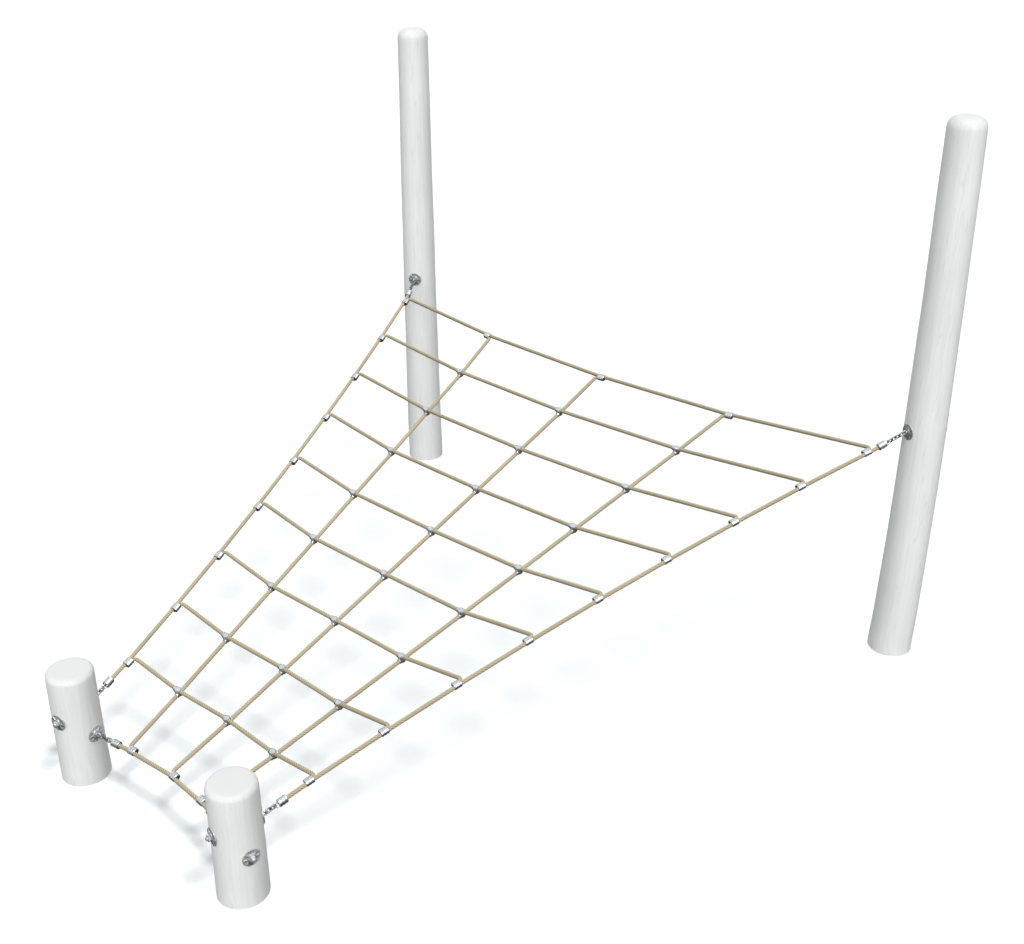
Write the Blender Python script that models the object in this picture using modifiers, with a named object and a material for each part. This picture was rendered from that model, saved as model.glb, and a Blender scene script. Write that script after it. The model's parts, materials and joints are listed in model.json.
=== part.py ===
"""Cargo climbing net: a rope net slung on short chains between two tall and two low timber posts.

Units are metres, +Z is up and Z = 0 is the ground.  The origin is on the ground in the middle of
the four posts.  The low posts stand at -Y, the tall posts at +Y, and X = 0 is the symmetry plane.
"""
import math
from collections import namedtuple

import bmesh
import bpy
from mathutils import Matrix, Vector

# ---- posts
POST_ROW_SPACING = 3.000          # low post row to tall post row, along Y
LOW_POST_SPACING = 1.010          # between the low post axes, along X
TALL_POST_SPACING = 3.040         # between the tall post axes, along X
LOW_POST_HEIGHT = 0.505
TALL_POST_HEIGHT = 2.455
LOW_POST_FOOT_DIAMETER = 0.196
LOW_POST_TOP_DIAMETER = 0.188
TALL_POST_FOOT_DIAMETER = 0.196
TALL_POST_TOP_DIAMETER = 0.156
LOW_POST_ROUNDING = 0.022         # radius of the rounded rim at a post's top
TALL_POST_ROUNDING = 0.045
POST_RIM_TURNS = (20, 40, 60, 80)        # degrees round the rim at which its rings lie
POST_FOOT_STRAIGHT = 0.060        # plumb stretch above the ground, below the bow of the trunk
LOW_POST_BOW = {-1: 0.003, 1: 0.002}     # outward bow of each trunk, by side
TALL_POST_BOW = {-1: 0.006, 1: 0.016}
POST_BOW_HEIGHT = 0.38            # share of the trunk's height at which its bow is greatest
POST_RINGS = {"tall": 7, "low": 3}       # stations along the bowed trunk

# ---- ropes
ROPE_DIAMETER = 0.018
SWAGED_DIAMETER = 0.0126          # a rope's end where a ferrule presses it
NET_ROWS = 9                      # rows of meshes from the top rope to the bottom rope
SIDE_ROPE_BOW = 0.0555            # inward bow of a side rope, halfway down
TOP_ROPE_BELLY = 0.098            # how far the top rope's middle hangs down the slope
TOP_ROPE_SAG = 0.026
LONG_TOP_SPREAD = 0.713           # outer long ropes on the top rope, from the symmetry plane
LONG_ROPE_SAG = 0.005
BOTTOM_ROPE_BELLY = 0.020         # how far the bottom rope's middle is drawn up the slope
BOTTOM_ROPE_SAG = 0.001
JOIN_BEND_RADIUS = 0.011          # bend of a rope's end into its ferrule
JOIN_BEND_STEPS = 3
JOIN_DEPTH = 0.016                # how far the pressed tail of a rope sits inside its ferrule
JOIN_LEAD = 0.003                 # straight stretch of that tail before its bend

# ---- ferrules, crossing clamps and end fittings
FERRULE_LENGTH = 0.034
FERRULE_WIDTH = 0.0352            # across both ropes, in the net's plane
FERRULE_THICKNESS = 0.026
FERRULE_SIDES = 12
CLAMP_DIAMETER = 0.030
CLAMP_CHAMFER = 0.005
CLAMP_SIDES = 8
CLAMP_WALL = 0.0022               # over the ropes, above and below the crossing
SLEEVE_DIAMETER = 0.032
SLEEVE_LENGTH = 0.036
SOCKET_DEPTH = 0.026
SLEEVE_CHAMFER = 0.0025

# ---- chains: short link, round wire
CHAIN_WIRE = 0.006
CHAIN_PITCH = 0.0185              # inner length of a link
CHAIN_INNER_WIDTH = 0.0095
LINK_BITE = 0.0012                # neighbouring links are sunk into each other by this much
EYE_WIRE = 0.006
BOLT_EYE_HOLE = 0.011
FITTING_EYE_HOLE = 0.0145
FITTING_EYE_WELD = 0.0006         # clear of the eye's hole before the sleeve begins
FITTING_EYE_SLACK = 0.00275       # the last link lies this far off the middle of the fitting's eye
LINK_END_POINTS = 5

# ---- through bolts, discs and nuts
BOLT_DIAMETER = 0.016
BOLT_NECK = 0.0116                # where the shank runs into its eye
DISC_DIAMETER = 0.070
DISC_THICKNESS = 0.008
DISC_RIM = 0.0035                 # thickness of the disc at its edge
DISC_HUB_DIAMETER = 0.034
DISC_SEAT_DEPTH = 0.003           # flat cut into the round post for a disc
NUT_ACROSS_FLATS = 0.024
NUT_HEIGHT = 0.018
NUT_THREAD_DEPTH = 0.012

# ---- fits
TOUCH_GAP = 0.0003                # between faces that touch
ROPE_SOCKET_CLEARANCE = 0.0005    # on the radius, rope in the sleeve of its end fitting
BOLT_CLEARANCE = 0.0006           # on the radius, bolt in its post and in its discs
EYE_LINK_GAP = 0.0004             # between a bolt's eye and the first link
SEAT_CLEARANCE = 0.001            # on the radius, disc in the flat cut for it

# ---- anchors: bearing and climb are the chain's direction, seen from the post
# bearing is measured in plan from the post row's inward Y direction, towards the symmetry plane
Anchor = namedtuple("Anchor", "row height bearing climb links lead")
ANCHORS = {
    "tall": Anchor("tall", 1.120, math.radians(27.7), math.radians(-21.5), 4, 0.0208),
    "side": Anchor("low", 0.305, math.radians(-12.2), math.radians(15.0), 2, 0.1305),
    "bottom": Anchor("low", 0.226, math.radians(79.6), math.radians(-3.3), 3, 0.0395),
}
SIDES = {"left": -1, "right": 1}

ROPE_RADIUS = ROPE_DIAMETER / 2
BOLT_EYE_RADIUS = BOLT_EYE_HOLE / 2 + EYE_WIRE           # outside of a bolt's eye
JOIN_SPACING = (ROPE_DIAMETER + SWAGED_DIAMETER) / 2 + 2 * TOUCH_GAP
CROSSING_OFFSET = ROPE_RADIUS + TOUCH_GAP
FITTING_EYE_REACH = FITTING_EYE_HOLE / 2 + FITTING_EYE_WELD   # eye's middle to the sleeve's face

Finish = namedtuple("Finish", "colour roughness metallic")
FINISHES = {
    "rope": Finish((0.50, 0.41, 0.24, 1.0), 0.85, 0.0),
    "aluminium": Finish((0.80, 0.81, 0.83, 1.0), 0.30, 1.0),
    "galvanised_steel": Finish((0.42, 0.43, 0.44, 1.0), 0.45, 1.0),
    "timber": Finish((0.80, 0.80, 0.79, 1.0), 0.75, 0.0),
}


# ------------------------------------------------------------------ scene helpers
def clear_scene():
    """Remove every object that the scene starts with."""
    for obj in list(bpy.data.objects):
        bpy.data.objects.remove(obj, do_unlink=True)


def new_collection(name):
    """Add a collection to the scene."""
    collection = bpy.data.collections.new(name)
    bpy.context.scene.collection.children.link(collection)
    return collection


def make_materials():
    """One Principled material for each finish."""
    materials = {}
    for name, finish in FINISHES.items():
        material = bpy.data.materials.new(name)
        material.use_nodes = True
        shader = material.node_tree.nodes["Principled BSDF"]
        shader.inputs["Base Color"].default_value = finish.colour
        shader.inputs["Roughness"].default_value = finish.roughness
        shader.inputs["Metallic"].default_value = finish.metallic
        material.diffuse_color = finish.colour
        materials[name] = material
    return materials


clear_scene()
PARTS = new_collection("cargo_climbing_net")
CUTTERS = new_collection("cutters")
MATERIALS = make_materials()


def add_object(name, mesh, collection=CUTTERS, matrix=None):
    """Link an object for the mesh, at the given place."""
    obj = bpy.data.objects.new(name, mesh)
    collection.objects.link(obj)
    if matrix is not None:
        obj.matrix_world = matrix
    return obj


def add_part(name, mesh, finish, matrix=None, parent=None):
    """Add one named piece of the object, with its material and its smooth shading."""
    if not mesh.materials:
        mesh.materials.append(MATERIALS[finish])
        mesh.shade_smooth()
        mesh.set_sharp_from_angle(angle=math.radians(35))
    obj = add_object(name, mesh, PARTS, matrix)
    if parent is not None:
        bpy.context.view_layer.update()
        obj.parent = parent
        obj.matrix_parent_inverse = parent.matrix_world.inverted()
    return obj


def add_empty(name, matrix):
    """A guide empty that carries the pieces of a moving body."""
    empty = bpy.data.objects.new(name, None)
    empty.empty_display_size = 0.2
    PARTS.objects.link(empty)
    empty.matrix_world = matrix
    return empty


def evaluated_mesh(obj):
    """The object's mesh with its modifiers or its curve bevel applied."""
    bpy.context.view_layer.update()
    depsgraph = bpy.context.evaluated_depsgraph_get()
    return bpy.data.meshes.new_from_object(obj.evaluated_get(depsgraph))


def combine(mesh, tool_mesh, operation):
    """Union or cut one world-space mesh with another, and return the result."""
    target = add_object("target", mesh)
    tool = add_object("tool", tool_mesh)
    modifier = target.modifiers.new("combine", "BOOLEAN")
    modifier.operation = operation
    modifier.solver = "EXACT"
    modifier.object = tool
    result = evaluated_mesh(target)
    bpy.data.objects.remove(target, do_unlink=True)
    bpy.data.objects.remove(tool, do_unlink=True)
    return result


def axes_matrix(origin, x_axis, z_hint):
    """A frame at origin whose X runs along x_axis and whose Z is as near z_hint as it can be."""
    x_dir = x_axis.normalized()
    y_dir = z_hint.cross(x_dir).normalized()
    z_dir = x_dir.cross(y_dir)
    rotation = Matrix((x_dir, y_dir, z_dir)).transposed()
    return Matrix.Translation(origin) @ rotation.to_4x4()


# ------------------------------------------------------------------ shapes
def tube_mesh(points, radius, widths=None, cyclic=False, resolution=2):
    """Round bar along a list of points; widths scales the radius at each point."""
    curve = bpy.data.curves.new("guide", "CURVE")
    curve.dimensions = "3D"
    spline = curve.splines.new("POLY")
    spline.points.add(len(points) - 1)
    for index, point in enumerate(points):
        spline.points[index].co = (*point, 1.0)
        spline.points[index].radius = widths[index] if widths else 1.0
    spline.use_cyclic_u = cyclic
    curve.bevel_depth = radius
    curve.bevel_resolution = resolution
    curve.use_fill_caps = not cyclic
    guide = add_object("guide", curve)
    mesh = evaluated_mesh(guide)
    bpy.data.objects.remove(guide, do_unlink=True)
    weld = bmesh.new()
    weld.from_mesh(mesh)
    bmesh.ops.remove_doubles(weld, verts=weld.verts, dist=0.00001)
    bmesh.ops.recalc_face_normals(weld, faces=weld.faces)
    weld.to_mesh(mesh)
    weld.free()
    return mesh


def cylinder_mesh(radius, start, end, segments=16):
    """Cylinder about the local X axis, from start to end."""
    form = bmesh.new()
    centre = Matrix.Translation(((start + end) / 2, 0, 0))
    turn = Matrix.Rotation(math.pi / 2, 4, "Y")
    bmesh.ops.create_cone(form, cap_ends=True, segments=segments, radius1=radius, radius2=radius,
                          depth=end - start, matrix=centre @ turn)
    mesh = bpy.data.meshes.new("cylinder")
    form.to_mesh(mesh)
    form.free()
    return mesh


def chamfered_cylinder_mesh(radius, start, end, chamfer, segments):
    """Cylinder about the local X axis with both rims chamfered."""
    mesh = cylinder_mesh(radius, start, end, segments)
    shape = bmesh.new()
    shape.from_mesh(mesh)
    rims = [edge for edge in shape.edges if abs(edge.verts[0].co.x - edge.verts[1].co.x) < chamfer]
    bmesh.ops.bevel(shape, geom=rims, offset=chamfer, segments=1, affect="EDGES")
    shape.to_mesh(mesh)
    shape.free()
    return mesh


def turned_mesh(profile, steps):
    """Body of revolution about Z.  The profile holds (radius, height) points, outer side downwards."""
    mesh = bpy.data.meshes.new("profile")
    closed = [(i, (i + 1) % len(profile)) for i in range(len(profile))]
    mesh.from_pydata([(radius, 0.0, height) for radius, height in profile], closed, [])
    obj = add_object("turned", mesh)
    screw = obj.modifiers.new("turn", "SCREW")
    screw.steps = steps
    screw.render_steps = steps
    screw.use_merge_vertices = True
    screw.merge_threshold = 0.00001
    result = evaluated_mesh(obj)
    bpy.data.objects.remove(obj, do_unlink=True)
    shape = bmesh.new()
    shape.from_mesh(result)
    bmesh.ops.recalc_face_normals(shape, faces=shape.faces)
    shape.to_mesh(result)
    shape.free()
    return result


def transformed(mesh, matrix):
    """The same mesh, moved into place."""
    mesh.transform(matrix)
    return mesh


# ------------------------------------------------------------------ posts
class Post:
    """One trunk, standing plumb with a slight outward bow."""

    def __init__(self, row, side):
        tall = row == "tall"
        spacing = TALL_POST_SPACING if tall else LOW_POST_SPACING
        self.foot = Vector((side * spacing / 2, POST_ROW_SPACING / 2 * (1 if tall else -1), 0))
        self.height = TALL_POST_HEIGHT if tall else LOW_POST_HEIGHT
        self.rounding = TALL_POST_ROUNDING if tall else LOW_POST_ROUNDING
        self.rings = POST_RINGS[row]
        self.foot_radius = (TALL_POST_FOOT_DIAMETER if tall else LOW_POST_FOOT_DIAMETER) / 2
        self.top_radius = (TALL_POST_TOP_DIAMETER if tall else LOW_POST_TOP_DIAMETER) / 2
        self.bow = (TALL_POST_BOW if tall else LOW_POST_BOW)[side] * side

    def axis_point(self, height):
        """Middle of the trunk at a height."""
        rise = max(0.0, height - POST_FOOT_STRAIGHT) / (self.height - POST_FOOT_STRAIGHT)
        power = math.log(0.5) / math.log(POST_BOW_HEIGHT)
        offset = self.bow * math.sin(math.pi * rise ** power)
        return self.foot + Vector((offset, 0, height))

    def radius(self, height):
        """Trunk radius at a height."""
        return self.foot_radius + (self.top_radius - self.foot_radius) * height / self.height

    def mesh(self):
        """Tapered trunk with a flat foot and a rounded top rim."""
        shoulder = self.height - self.rounding
        span = shoulder - POST_FOOT_STRAIGHT
        heights = [0.0]
        heights += [POST_FOOT_STRAIGHT + span * i / self.rings for i in range(self.rings + 1)]
        points = [self.axis_point(height) for height in heights]
        radii = [self.radius(height) for height in heights]
        for turn in map(math.radians, POST_RIM_TURNS):
            height = shoulder + self.rounding * math.sin(turn)
            points.append(self.axis_point(height))
            radii.append(self.radius(height) - self.rounding * (1 - math.cos(turn)))
        points.append(self.axis_point(self.height))
        radii.append(self.radius(self.height) - self.rounding)
        return tube_mesh(points, 1.0, widths=radii, resolution=6)


POSTS = {(row, side): Post(row, sign) for row in ("tall", "low") for side, sign in SIDES.items()}


# ------------------------------------------------------------------ anchors and chains
class AnchorPlace:
    """Where one anchor's bolt, chain, fitting and rope lie, all in one upright plane."""

    def __init__(self, kind, side):
        anchor = ANCHORS[kind]
        sign = SIDES[side]
        self.anchor = anchor
        self.post = POSTS[(anchor.row, side)]
        inward = -1 if anchor.row == "tall" else 1
        self.outward = Vector((-sign * math.sin(anchor.bearing),
                               inward * math.cos(anchor.bearing), 0))
        self.axis_point = self.post.axis_point(anchor.height)
        self.seat = self.post.radius(anchor.height) - DISC_SEAT_DEPTH
        self.disc_face = self.seat + TOUCH_GAP + DISC_THICKNESS
        self.eye = self.axis_point + self.outward * (self.disc_face + TOUCH_GAP + BOLT_EYE_RADIUS)
        self.chain_dir = (self.outward * math.cos(anchor.climb)
                          + Vector((0, 0, math.sin(anchor.climb))))
        first_link = BOLT_EYE_HOLE / 2 - CHAIN_WIRE / 2 - EYE_LINK_GAP
        self.pivot = self.eye + self.chain_dir * first_link
        self.chain_length = ((anchor.links - 1) * (CHAIN_PITCH + LINK_BITE)
                             + CHAIN_PITCH + CHAIN_WIRE)
        self.fitting_eye = self.pivot + self.chain_dir * (self.chain_length + FITTING_EYE_SLACK)
        sleeve_end = FITTING_EYE_REACH + SLEEVE_LENGTH
        self.rope_end = self.fitting_eye + self.chain_dir * (
            sleeve_end - SOCKET_DEPTH + TOUCH_GAP)
        self.node = self.fitting_eye + self.chain_dir * (sleeve_end + anchor.lead)


PLACES = {(kind, side): AnchorPlace(kind, side) for kind in ANCHORS for side in SIDES}


def link_points():
    """Middle line of one link in the XY plane, its first end's bar at the origin."""
    half_width = (CHAIN_INNER_WIDTH + CHAIN_WIRE) / 2
    length = CHAIN_PITCH + CHAIN_WIRE
    points = []
    for centre, start in ((length - half_width, -90), (half_width, 90)):
        for step in range(LINK_END_POINTS):
            angle = math.radians(start + 180 * step / (LINK_END_POINTS - 1))
            points.append((centre + half_width * math.cos(angle), half_width * math.sin(angle), 0))
    return points


def chain_mesh(links):
    """Chain along +X from the first link's bar at the origin; odd links lie in the XY plane."""
    chain = None
    for index in range(links):
        place = (Matrix.Translation((index * (CHAIN_PITCH + LINK_BITE), 0, 0))
                 @ Matrix.Rotation(math.pi / 2 * (index % 2), 4, "X"))
        link = transformed(tube_mesh(link_points(), CHAIN_WIRE / 2, cyclic=True, resolution=1), place)
        chain = link if chain is None else combine(chain, link, "UNION")
    return chain


def eye_ring_mesh(hole):
    """Ring about the Y axis, its middle at the origin."""
    ring_radius = (hole + EYE_WIRE) / 2
    count = 12
    points = []
    for step in range(count):
        angle = 2 * math.pi * step / count
        points.append((ring_radius * math.cos(angle), 0, ring_radius * math.sin(angle)))
    return tube_mesh(points, EYE_WIRE / 2, cyclic=True, resolution=1)


def eye_bolt_mesh(grip):
    """Forged eye at the origin with its shank along -X; grip runs from the eye to the nut's face."""
    neck_end = -(BOLT_EYE_RADIUS - EYE_WIRE / 4)
    shank_end = -(BOLT_EYE_RADIUS + grip + NUT_THREAD_DEPTH - TOUCH_GAP)
    shank = cylinder_mesh(BOLT_DIAMETER / 2, shank_end, -(BOLT_EYE_RADIUS + TOUCH_GAP), 12)
    neck = cylinder_mesh(BOLT_NECK / 2, -(BOLT_EYE_RADIUS + BOLT_DIAMETER / 2), neck_end, 10)
    body = combine(shank, neck, "UNION")
    return combine(body, eye_ring_mesh(BOLT_EYE_HOLE), "UNION")


def disc_mesh():
    """Low domed disc with a hub, seated on Z = 0 and facing +Z."""
    bore = BOLT_DIAMETER / 2 + BOLT_CLEARANCE
    profile = [(bore, DISC_THICKNESS), (DISC_HUB_DIAMETER / 2, DISC_THICKNESS),
               (DISC_DIAMETER / 2, DISC_RIM), (DISC_DIAMETER / 2, 0.0), (bore, 0.0)]
    return turned_mesh(profile, 16)


def nut_mesh():
    """Closed-end hexagon nut, seated on Z = 0 and facing +Z."""
    corner = NUT_ACROSS_FLATS / 2 / math.cos(math.pi / 6)
    form = bmesh.new()
    bmesh.ops.create_cone(form, cap_ends=True, segments=6, radius1=corner, radius2=corner,
                          depth=NUT_HEIGHT, matrix=Matrix.Translation((0, 0, NUT_HEIGHT / 2)))
    top = [edge for edge in form.edges if min(vert.co.z for vert in edge.verts) > NUT_HEIGHT * 0.9]
    bmesh.ops.bevel(form, geom=top, offset=NUT_HEIGHT * 0.2, segments=2, affect="EDGES")
    nut = bpy.data.meshes.new("nut")
    form.to_mesh(nut)
    form.free()
    bore = cylinder_mesh(BOLT_DIAMETER / 2 + BOLT_CLEARANCE, -0.01, NUT_THREAD_DEPTH, 12)
    return combine(nut, transformed(bore, Matrix.Rotation(-math.pi / 2, 4, "Y")), "DIFFERENCE")


def end_fitting_mesh():
    """Pressed sleeve along +X with a welded eye at the origin and a blind socket for the rope."""
    start = FITTING_EYE_REACH
    end = start + SLEEVE_LENGTH
    sleeve = chamfered_cylinder_mesh(SLEEVE_DIAMETER / 2, start, end, SLEEVE_CHAMFER, 14)
    body = combine(sleeve, eye_ring_mesh(FITTING_EYE_HOLE), "UNION")
    socket = cylinder_mesh(ROPE_RADIUS + ROPE_SOCKET_CLEARANCE, end - SOCKET_DEPTH, end + 0.01, 12)
    return combine(body, socket, "DIFFERENCE")


# ------------------------------------------------------------------ net layout
def side_node(side, row):
    """Where transverse rope row meets a side rope; row 0 is the top rope's corner."""
    share = row / (NET_ROWS - 1)
    top = PLACES[("tall", side)].node
    low = PLACES[("side", side)].node
    bow = Vector((-SIDES[side] * SIDE_ROPE_BOW * 4 * share * (1 - share), 0, 0))
    return top.lerp(low, share) + bow


def top_rope_point(x):
    """A point of the top rope, between its corners."""
    corner = PLACES[("tall", "left" if x < 0 else "right")].node
    slack = 1 - (x / corner.x) ** 2
    return Vector((x, corner.y - TOP_ROPE_BELLY * slack, corner.z - TOP_ROPE_SAG * slack))


def bottom_rope_node(column):
    """Where a long rope meets the bottom rope; columns run -1, 0 and 1 from left to right."""
    if column == 0:
        right = PLACES[("bottom", "right")].node
        left = PLACES[("bottom", "left")].node
        return left.lerp(right, 0.5) + Vector((0, BOTTOM_ROPE_BELLY, -BOTTOM_ROPE_SAG))
    return PLACES[("bottom", "left" if column < 0 else "right")].node.copy()


def long_node(column, row):
    """Where a long rope meets transverse rope row, at the middle of their clamp."""
    top = top_rope_point(LONG_TOP_SPREAD * column)
    low = bottom_rope_node(column)
    share = row / NET_ROWS
    return top.lerp(low, share) - Vector((0, 0, LONG_ROPE_SAG * 4 * share * (1 - share)))


SLOPE = (long_node(0, 0) - long_node(0, NET_ROWS)).normalized()
NET_NORMAL = Vector((1, 0, 0)).cross(SLOPE)

Rope = namedtuple("Rope", "points widths")
Join = namedtuple("Join", "end tail ferrule")      # rope's end, pressed tail, place of the ferrule


def join_end(node, along, neighbour):
    """The end of a rope from neighbour, and its tail, which bends along the border into a ferrule."""
    run = along.normalized()
    inward = neighbour - node
    inward = (inward - run * inward.dot(run)).normalized()
    corner = node + inward * JOIN_SPACING
    toward = (neighbour - corner).normalized()
    half_angle = toward.angle(run) / 2
    reach = JOIN_BEND_RADIUS / math.tan(half_angle)
    centre = corner + (toward + run).normalized() * (JOIN_BEND_RADIUS / math.sin(half_angle))
    spoke_start = (corner + toward * reach - centre).normalized()
    spoke_end = (corner + run * reach - centre).normalized()
    swage = SWAGED_DIAMETER / ROPE_DIAMETER
    bend_start = centre + spoke_start * JOIN_BEND_RADIUS
    end = bend_start + toward * JOIN_LEAD
    points = [end - toward * TOUCH_GAP]
    widths = [1.0]
    for step in range(JOIN_BEND_STEPS + 1):
        share = step / JOIN_BEND_STEPS
        points.append(centre + spoke_start.slerp(spoke_end, share) * JOIN_BEND_RADIUS)
        widths.append(1 + (swage - 1) * share)
    points.append(corner + run * (reach + JOIN_DEPTH))
    widths.append(swage)
    middle = node + run * (reach + FERRULE_LENGTH / 2)
    middle += inward * (JOIN_SPACING + (SWAGED_DIAMETER - ROPE_DIAMETER) / 2) / 2
    return Join(end, Rope(points, widths), axes_matrix(middle, run, run.cross(inward)))


def ferrule_mesh(place):
    """Oval pressed sleeve that holds a border rope and a joining rope side by side."""
    mesh = cylinder_mesh(1.0, -FERRULE_LENGTH / 2, FERRULE_LENGTH / 2, FERRULE_SIDES)
    oval = Matrix.Diagonal((1, FERRULE_WIDTH / 2, FERRULE_THICKNESS / 2, 1))
    return transformed(mesh, place @ oval)


def clamp_mesh(centre, along):
    """Drum-shaped crossing clamp that holds two stacked ropes."""
    half_height = CROSSING_OFFSET + ROPE_RADIUS + CLAMP_WALL
    drum = chamfered_cylinder_mesh(CLAMP_DIAMETER / 2, -half_height, half_height, CLAMP_CHAMFER,
                                   CLAMP_SIDES)
    return transformed(drum, axes_matrix(centre, NET_NORMAL, along))


def rope_mesh(rope, extra_radius=0.0):
    """A rope's tube; extra_radius makes the cutter of a bore that clears it."""
    growth = extra_radius / ROPE_RADIUS
    widths = [width + growth for width in rope.widths]
    return tube_mesh(rope.points, ROPE_RADIUS, widths=widths)


# ------------------------------------------------------------------ ropes of the net
def side_rope(side):
    """Border rope from the tall post's fitting to the low post's fitting."""
    points = [PLACES[("tall", side)].rope_end]
    points += [side_node(side, row) for row in range(NET_ROWS)]
    points.append(PLACES[("side", side)].rope_end)
    return full_width(points)


def full_width(points):
    """A rope of full diameter along the points."""
    return Rope(points, [1.0] * len(points))


def side_joins(row, neighbours):
    """Both ends of transverse rope row, or of the top rope in row 0, on the side ropes."""
    joins = {}
    for side in SIDES:
        node = side_node(side, row)
        low_end = PLACES[("side", side)].rope_end
        after = side_node(side, row + 1) if row < NET_ROWS - 1 else low_end
        joins[side] = join_end(node, after - node, neighbours[side])
    return joins


def build_net(net):
    """All ropes, with the ferrules on the border ropes and the clamps on the long ropes."""
    lift = NET_NORMAL * CROSSING_OFFSET
    columns = (-1, 0, 1)

    top_nodes = [long_node(column, 0) for column in columns]
    corner_joins = side_joins(0, {"left": top_nodes[0], "right": top_nodes[-1]})
    top = full_width([corner_joins["left"].end, *top_nodes, corner_joins["right"].end])

    bottom_nodes = [long_node(column, NET_ROWS) for column in columns]
    bottom = full_width([PLACES[("bottom", "left")].rope_end, *bottom_nodes,
                         PLACES[("bottom", "right")].rope_end])

    cross_ropes = {}
    joins_on_sides = {side: [corner_joins[side]] for side in SIDES}
    for row in range(1, NET_ROWS):
        over = [long_node(column, row) + lift for column in columns]
        joins = side_joins(row, {"left": over[0], "right": over[-1]})
        cross_ropes[row] = full_width([joins["left"].end, *over, joins["right"].end])
        for side in SIDES:
            joins_on_sides[side].append(joins[side])

    long_ropes = {}
    joins_on_top = []
    joins_on_bottom = []
    for column in columns:
        under = [long_node(column, row) - lift for row in range(1, NET_ROWS)]
        top_along = corner_joins["left" if column < 0 else "right"].end - top_nodes[column + 1]
        if column == 0:
            top_along = top_nodes[2] - top_nodes[1]
        bottom_along = bottom_nodes[1] - bottom_nodes[column + 1]
        if column == 0:
            bottom_along = bottom_nodes[2] - bottom_nodes[1]
        top_join = join_end(top_nodes[column + 1], top_along, under[0])
        bottom_join = join_end(bottom_nodes[column + 1], bottom_along, under[-1])
        long_ropes[column] = full_width([top_join.end, *under, bottom_join.end])
        joins_on_top.append(top_join)
        joins_on_bottom.append(bottom_join)

    for side in SIDES:
        mesh = with_joins(side_rope(side), joins_on_sides[side])
        add_part(f"side_rope_{side}", mesh, "rope", parent=net)
    add_part("top_rope", with_joins(top, joins_on_top), "rope", parent=net)
    add_part("bottom_rope", with_joins(bottom, joins_on_bottom), "rope", parent=net)
    for column, name in zip(columns, ("left", "middle", "right")):
        mesh = with_clamps(long_ropes[column], column, cross_ropes)
        add_part(f"long_rope_{name}", mesh, "rope", parent=net)
    for row, rope in cross_ropes.items():
        add_part(f"cross_rope_{row}", rope_mesh(rope), "rope", parent=net)


def with_joins(rope, joins):
    """A border rope with its ferrules, each pressed on it and on the tail of a joining rope."""
    mesh = rope_mesh(rope)
    for join in joins:
        pressed = combine(ferrule_mesh(join.ferrule), rope_mesh(join.tail), "UNION")
        mesh = combine(mesh, pressed, "UNION")
    return mesh


def with_clamps(rope, column, cross_ropes):
    """A long rope with each crossing clamp pressed on, bored for the rope that crosses there."""
    mesh = rope_mesh(rope)
    for row, crossing in cross_ropes.items():
        centre = long_node(column, row)
        along = long_node(column, row + 1) - long_node(column, row - 1)
        bored = combine(clamp_mesh(centre, along), rope_mesh(crossing, TOUCH_GAP), "DIFFERENCE")
        mesh = combine(mesh, bored, "UNION")
    return mesh


# ------------------------------------------------------------------ posts and hardware
def bored_post(row, side):
    """A trunk with the bores of its through bolts and the flats for their discs."""
    mesh = POSTS[(row, side)].mesh()
    for kind, anchor in ANCHORS.items():
        if anchor.row != row:
            continue
        place = PLACES[(kind, side)]
        frame = axes_matrix(place.axis_point, place.outward, Vector((0, 0, 1)))
        beyond = place.post.foot_radius * 2
        bore = cylinder_mesh(BOLT_DIAMETER / 2 + BOLT_CLEARANCE, -beyond, beyond)
        mesh = combine(mesh, transformed(bore, frame), "DIFFERENCE")
        seat_radius = DISC_DIAMETER / 2 + SEAT_CLEARANCE
        for start, end in ((place.seat, beyond), (-beyond, -place.seat)):
            flat = cylinder_mesh(seat_radius, start, end, 24)
            mesh = combine(mesh, transformed(flat, frame), "DIFFERENCE")
    return mesh


def build_posts():
    """The four posts, each with its origin at the middle of its foot."""
    for (row, side), post in POSTS.items():
        foot = Matrix.Translation(post.foot)
        mesh = transformed(bored_post(row, side), foot.inverted())
        add_part(f"{row}_post_{side}", mesh, "timber", matrix=foot)


def build_anchors(net):
    """Bolt, discs and nut of each anchor, its chain and the end fitting on its rope."""
    up = Vector((0, 0, 1))
    disc = disc_mesh()
    nut = nut_mesh()
    fitting = end_fitting_mesh()
    for kind, anchor in ANCHORS.items():
        chain = chain_mesh(anchor.links)
        for side in SIDES:
            place = PLACES[(kind, side)]
            back_face = place.disc_face + TOUCH_GAP
            grip = place.disc_face + back_face + TOUCH_GAP
            bolt_frame = axes_matrix(place.eye, place.outward, up)
            add_part(f"{kind}_eye_bolt_{side}", eye_bolt_mesh(grip), "galvanised_steel",
                     matrix=bolt_frame)
            face = Matrix.Rotation(math.pi / 2, 4, "Y")
            outward = axes_matrix(place.axis_point, place.outward, up)
            backward = axes_matrix(place.axis_point, -place.outward, up)
            seat = Matrix.Translation((place.seat + TOUCH_GAP, 0, 0))
            add_part(f"{kind}_front_disc_{side}", disc, "galvanised_steel",
                     matrix=outward @ seat @ face)
            add_part(f"{kind}_back_disc_{side}", disc, "galvanised_steel",
                     matrix=backward @ seat @ face)
            add_part(f"{kind}_cap_nut_{side}", nut, "galvanised_steel",
                     matrix=backward @ Matrix.Translation((back_face, 0, 0)) @ face)
            add_part(f"{kind}_chain_{side}", chain, "galvanised_steel",
                     matrix=axes_matrix(place.pivot, place.chain_dir, NET_NORMAL))
            quarter_turn = Matrix.Rotation(math.pi / 2 * ((anchor.links + 1) % 2), 4, "X")
            add_part(f"{kind}_end_fitting_{side}", fitting, "aluminium",
                     matrix=axes_matrix(place.fitting_eye, place.chain_dir, NET_NORMAL)
                     @ quarter_turn, parent=net)


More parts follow.
